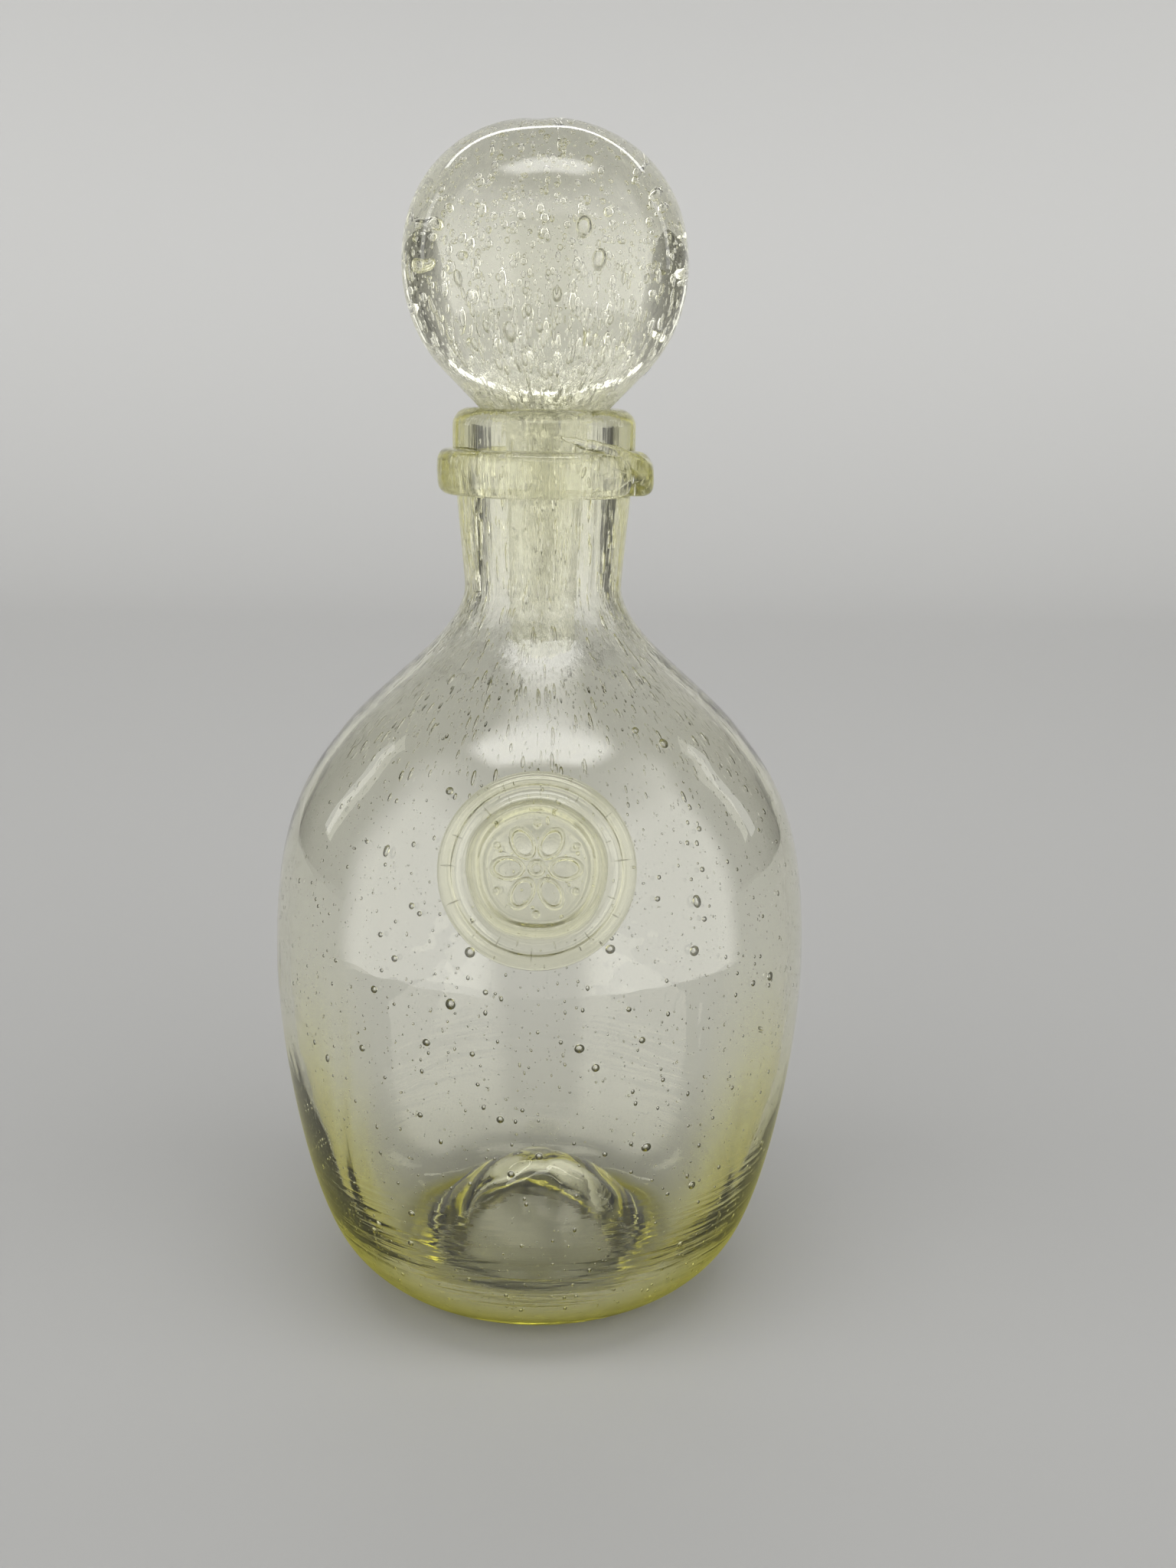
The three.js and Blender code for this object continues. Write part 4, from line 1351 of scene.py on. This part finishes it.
# %% Pieces on their bodies
for piece, node, body, slot in (
    (bottle, "bottle", "bottle", "bottle_glass"),
    (ring, "neck_ring", "bottle", "ring_glass"),
    (seal, "seal", "bottle", "seal_glass"),
    (stopper, "stopper", "stopper", "stopper_glass"),
):
    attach(piece, body)
    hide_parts(node)
    print(piece.name, "stands for", node, "on", body)

# %% [markdown]
# The floor and the backdrop are one pale sheet with a wide bend, as in a studio, so that no hard
# horizon stands behind the carafe and the tint of the glass reads. Two parts of it are hidden
# from the glass. The apron carries the floor towards the viewer, but the glass mirrors the room
# where the apron lies, as it would above the near edge of a table. The wings carry the backdrop
# round to both sides, where the glass finds something darker to bend into its edges.

# %% Floor
FLOOR_COLOUR = (0.37, 0.37, 0.364, 1)
FLOOR_SIZE = 6
COVE_HALF_WIDTH = 1.15
COVE_START = 1.2
COVE_RADIUS = 1.0
COVE_TOP = 2.3
cove_bend = arc((COVE_START, COVE_RADIUS), COVE_RADIUS, -90, 0, count=33)
cove_line = joined(cove_bend, [(COVE_START + COVE_RADIUS, COVE_TOP)])
cove_points = [(side * COVE_HALF_WIDTH, y, z) for y, z in cove_line for side in (-1, 1)]
cove_faces = [(2 * k, 2 * k + 1, 2 * k + 3, 2 * k + 2) for k in range(len(cove_line) - 1)]
wing_edges = (-FLOOR_SIZE, -COVE_HALF_WIDTH, COVE_HALF_WIDTH, FLOOR_SIZE)
wing_points = [(x, y, z) for y, z in cove_line for x in wing_edges]
wing_faces = [
    (4 * k + side, 4 * k + side + 1, 4 * k + side + 5, 4 * k + side + 4)
    for k in range(len(cove_line) - 1)
    for side in (0, 2)
]
TABLE_RADIUS = 0.44
EDGE_POINTS = 49
FLOOR_ROUGHNESS = 0.6
edge_turns = np.radians(np.linspace(180, 360, EDGE_POINTS))
near_edge = [(TABLE_RADIUS * math.cos(a), TABLE_RADIUS * math.sin(a), 0) for a in edge_turns]
far_edge = [(FLOOR_SIZE * math.cos(a), FLOOR_SIZE * math.sin(a), 0) for a in edge_turns]
right_corners = [(FLOOR_SIZE, 0, 0), (FLOOR_SIZE, COVE_START, 0)]
left_corners = [(-FLOOR_SIZE, COVE_START, 0), (-FLOOR_SIZE, 0, 0)]
floor_points = near_edge + right_corners + left_corners
floor_face = list(range(len(floor_points)))
apron_points = near_edge + far_edge
apron_faces = [
    (k, k + EDGE_POINTS, k + EDGE_POINTS + 1, k + 1) for k in range(EDGE_POINTS - 1)
]
floor_material = bpy.data.materials.new("pale_floor")
floor_material.use_nodes = True
floor_shader = floor_material.node_tree.nodes["Principled BSDF"]
floor_shader.inputs["Base Color"].default_value = FLOOR_COLOUR
floor_shader.inputs["Roughness"].default_value = FLOOR_ROUGHNESS
for name, points, faces, hidden_from in (
    ("floor", floor_points, [floor_face], ()),
    ("backdrop", cove_points, cove_faces, ()),
    ("apron", apron_points, apron_faces, ("glossy", "transmission")),
    ("wings", wing_points, wing_faces, ("glossy", "transmission", "diffuse", "shadow")),
):
    sheet = bpy.data.meshes.new(name)
    sheet.from_pydata(points, [], faces)
    sheet.shade_smooth()
    panel = link(name, sheet, floor_material)
    for rays in hidden_from:
        setattr(panel, "visible_" + rays, False)
    print(name, "hidden from", hidden_from or "nothing")

# %% [markdown]
# Glass has hardly a colour of its own: it shows what stands round it. The world is a pale studio,
# even behind the carafe and dimmer overhead and at both sides, so that the edges of the glass
# bend something darker into view. A lighter room in front, with a dim gap in its middle, is what
# the shoulder mirrors, and a soft patch overhead makes the highlight above the seal. Only
# mirrored light meets them at full strength: what is seen straight or through the glass is held
# to a plain level, so that nothing clips from behind. The camera sees one even grey.

# %% World
BACKDROP_LIGHT = 0.58
SIDE_LIGHT = 0.07
SIDE_EDGES = (0.34, 0.74)
OVERHEAD_LIGHT = 0.1
OVERHEAD_EDGES = (0.5, 0.95)
ROOM_LIGHT = 2.1
ROOM_TOP = (0.62, 0.9)
ROOM_BACK = (0.12, -0.12)
GAP_LIGHT = 0.12
GAP_EDGES = (0.25, 0.55)
GAP_TOP = (0.45, 0.6)
CEILING_LIGHT = 6.0
CEILING_BOTTOM = (0.86, 0.93)
CEILING_EDGES = (0.4, 0.62)
CEILING_FRONT = (-0.4, -0.3)
CEILING_BACK = (-0.16, -0.02)
SEEN_MOST = 0.68
INNER_MOST = 2.1
SHOWN_LIGHT = 0.6
WORLD_COLOUR = (1, 0.995, 0.985, 1)
# A ray with a lower depth than this has not been mirrored, or scattered, at all
NOT_ONCE = 0.5


def make_world():
    """Each pair of edges says where a patch starts and where it is full, along one axis."""
    world = bpy.data.worlds.new("studio")
    world.use_nodes = True
    bpy.context.scene.world = world
    tree = world.node_tree
    tree.nodes.clear()
    sight = add(tree, "ShaderNodeTexCoord").outputs["Generated"]
    x, y, z = add(tree, "ShaderNodeSeparateXYZ", sight).outputs
    sideways = math_node(tree, "ABSOLUTE", x)

    def step(value, edges, start=0.0, end=1.0):
        return smooth_step(tree, value, *edges, start, end)

    def product(first, second):
        return math_node(tree, "MULTIPLY", first, second)

    def mixed(share, without, whole):
        settings = {"data_type": "FLOAT"}
        return result(add(tree, "ShaderNodeMix", share, without, whole, settings=settings))

    studio = step(sideways, SIDE_EDGES, BACKDROP_LIGHT, SIDE_LIGHT)
    studio = product(studio, step(z, OVERHEAD_EDGES, 1.0, OVERHEAD_LIGHT))
    room = product(step(z, ROOM_TOP, 1.0, 0.0), step(y, ROOM_BACK))
    gap = product(step(sideways, GAP_EDGES, 1.0, 0.0), step(z, GAP_TOP, 1.0, 0.0))
    room = product(room, math_node(tree, "MULTIPLY_ADD", gap, GAP_LIGHT - 1, 1.0))
    patch = product(step(z, CEILING_BOTTOM), step(sideways, CEILING_EDGES, 1.0, 0.0))
    patch = product(patch, product(step(y, CEILING_FRONT), step(y, CEILING_BACK, 1.0, 0.0)))
    mirrored = math_node(tree, "MULTIPLY_ADD", room, ROOM_LIGHT, studio)
    mirrored = math_node(tree, "MULTIPLY_ADD", patch, CEILING_LIGHT, mirrored)
    path = add(tree, "ShaderNodeLightPath").outputs
    unmirrored = math_node(tree, "LESS_THAN", path["Glossy Depth"], NOT_ONCE)
    unscattered = math_node(tree, "LESS_THAN", path["Diffuse Depth"], NOT_ONCE)
    through_glass = product(path["Is Transmission Ray"], unscattered)
    held = math_node(tree, "MINIMUM", mirrored, mixed(unmirrored, INNER_MOST, SEEN_MOST))
    strength = mixed(through_glass, mirrored, held)
    strength = mixed(path["Is Camera Ray"], strength, SHOWN_LIGHT)
    back = add(tree, "ShaderNodeBackground", Color=WORLD_COLOUR, Strength=strength)
    add(tree, "ShaderNodeOutputWorld", result(back))


make_world()
print("world seen by the camera", SHOWN_LIGHT, "and at most", SEEN_MOST, "through the glass")

# %% [markdown]
# Three soft boxes add the long highlights. They stand behind the carafe, one above it and one at
# each side, and their strength is given as radiance, so that it doesn't change with their size.

# %% Lamps
def soft_box(name, place, target, width, height, radiance):
    """A rectangular lamp that looks at a point. Radiance 1 is as bright as white paper."""
    light = bpy.data.lights.new(name, "AREA")
    light.shape = "RECTANGLE"
    light.size = width
    light.size_y = height
    light.energy = radiance * math.pi * width * height
    lamp = bpy.data.objects.new(name, light)
    lamp.location = place
    lamp.rotation_euler = (Vector(target) - Vector(place)).to_track_quat("-Z", "Y").to_euler()
    lamp.visible_camera = False
    bpy.context.scene.collection.objects.link(lamp)


AIM = (0, 0, 0.13)
# Name, place, width and height in metres, and radiance
for name, place, width, height, radiance in (
    ("back_strip", (0.0, 0.5, 0.8), 1.1, 0.06, 4),
    ("left_strip", (-0.85, 0.34, 0.5), 0.1, 0.5, 1.6),
    ("right_strip", (0.85, 0.34, 0.5), 0.1, 0.5, 1.6),
):
    soft_box(name, place, AIM, width, height, radiance)
    print(name, "radiance", radiance)

# %% [markdown]
# Light has to pass many faces here: two walls of the bottle, the stopper between them, and the
# bubbles. The path lengths are raised so that none of it ends in black. The Standard view shows
# a colour as it is written.

# %% Light paths
GLASS_BOUNCES = 32
MIRROR_BOUNCES = 8
cycles = bpy.context.scene.cycles
cycles.max_bounces = GLASS_BOUNCES
cycles.transmission_bounces = GLASS_BOUNCES
cycles.glossy_bounces = MIRROR_BOUNCES
bpy.context.scene.view_settings.view_transform = "Standard"
print("light bounces", cycles.max_bounces)
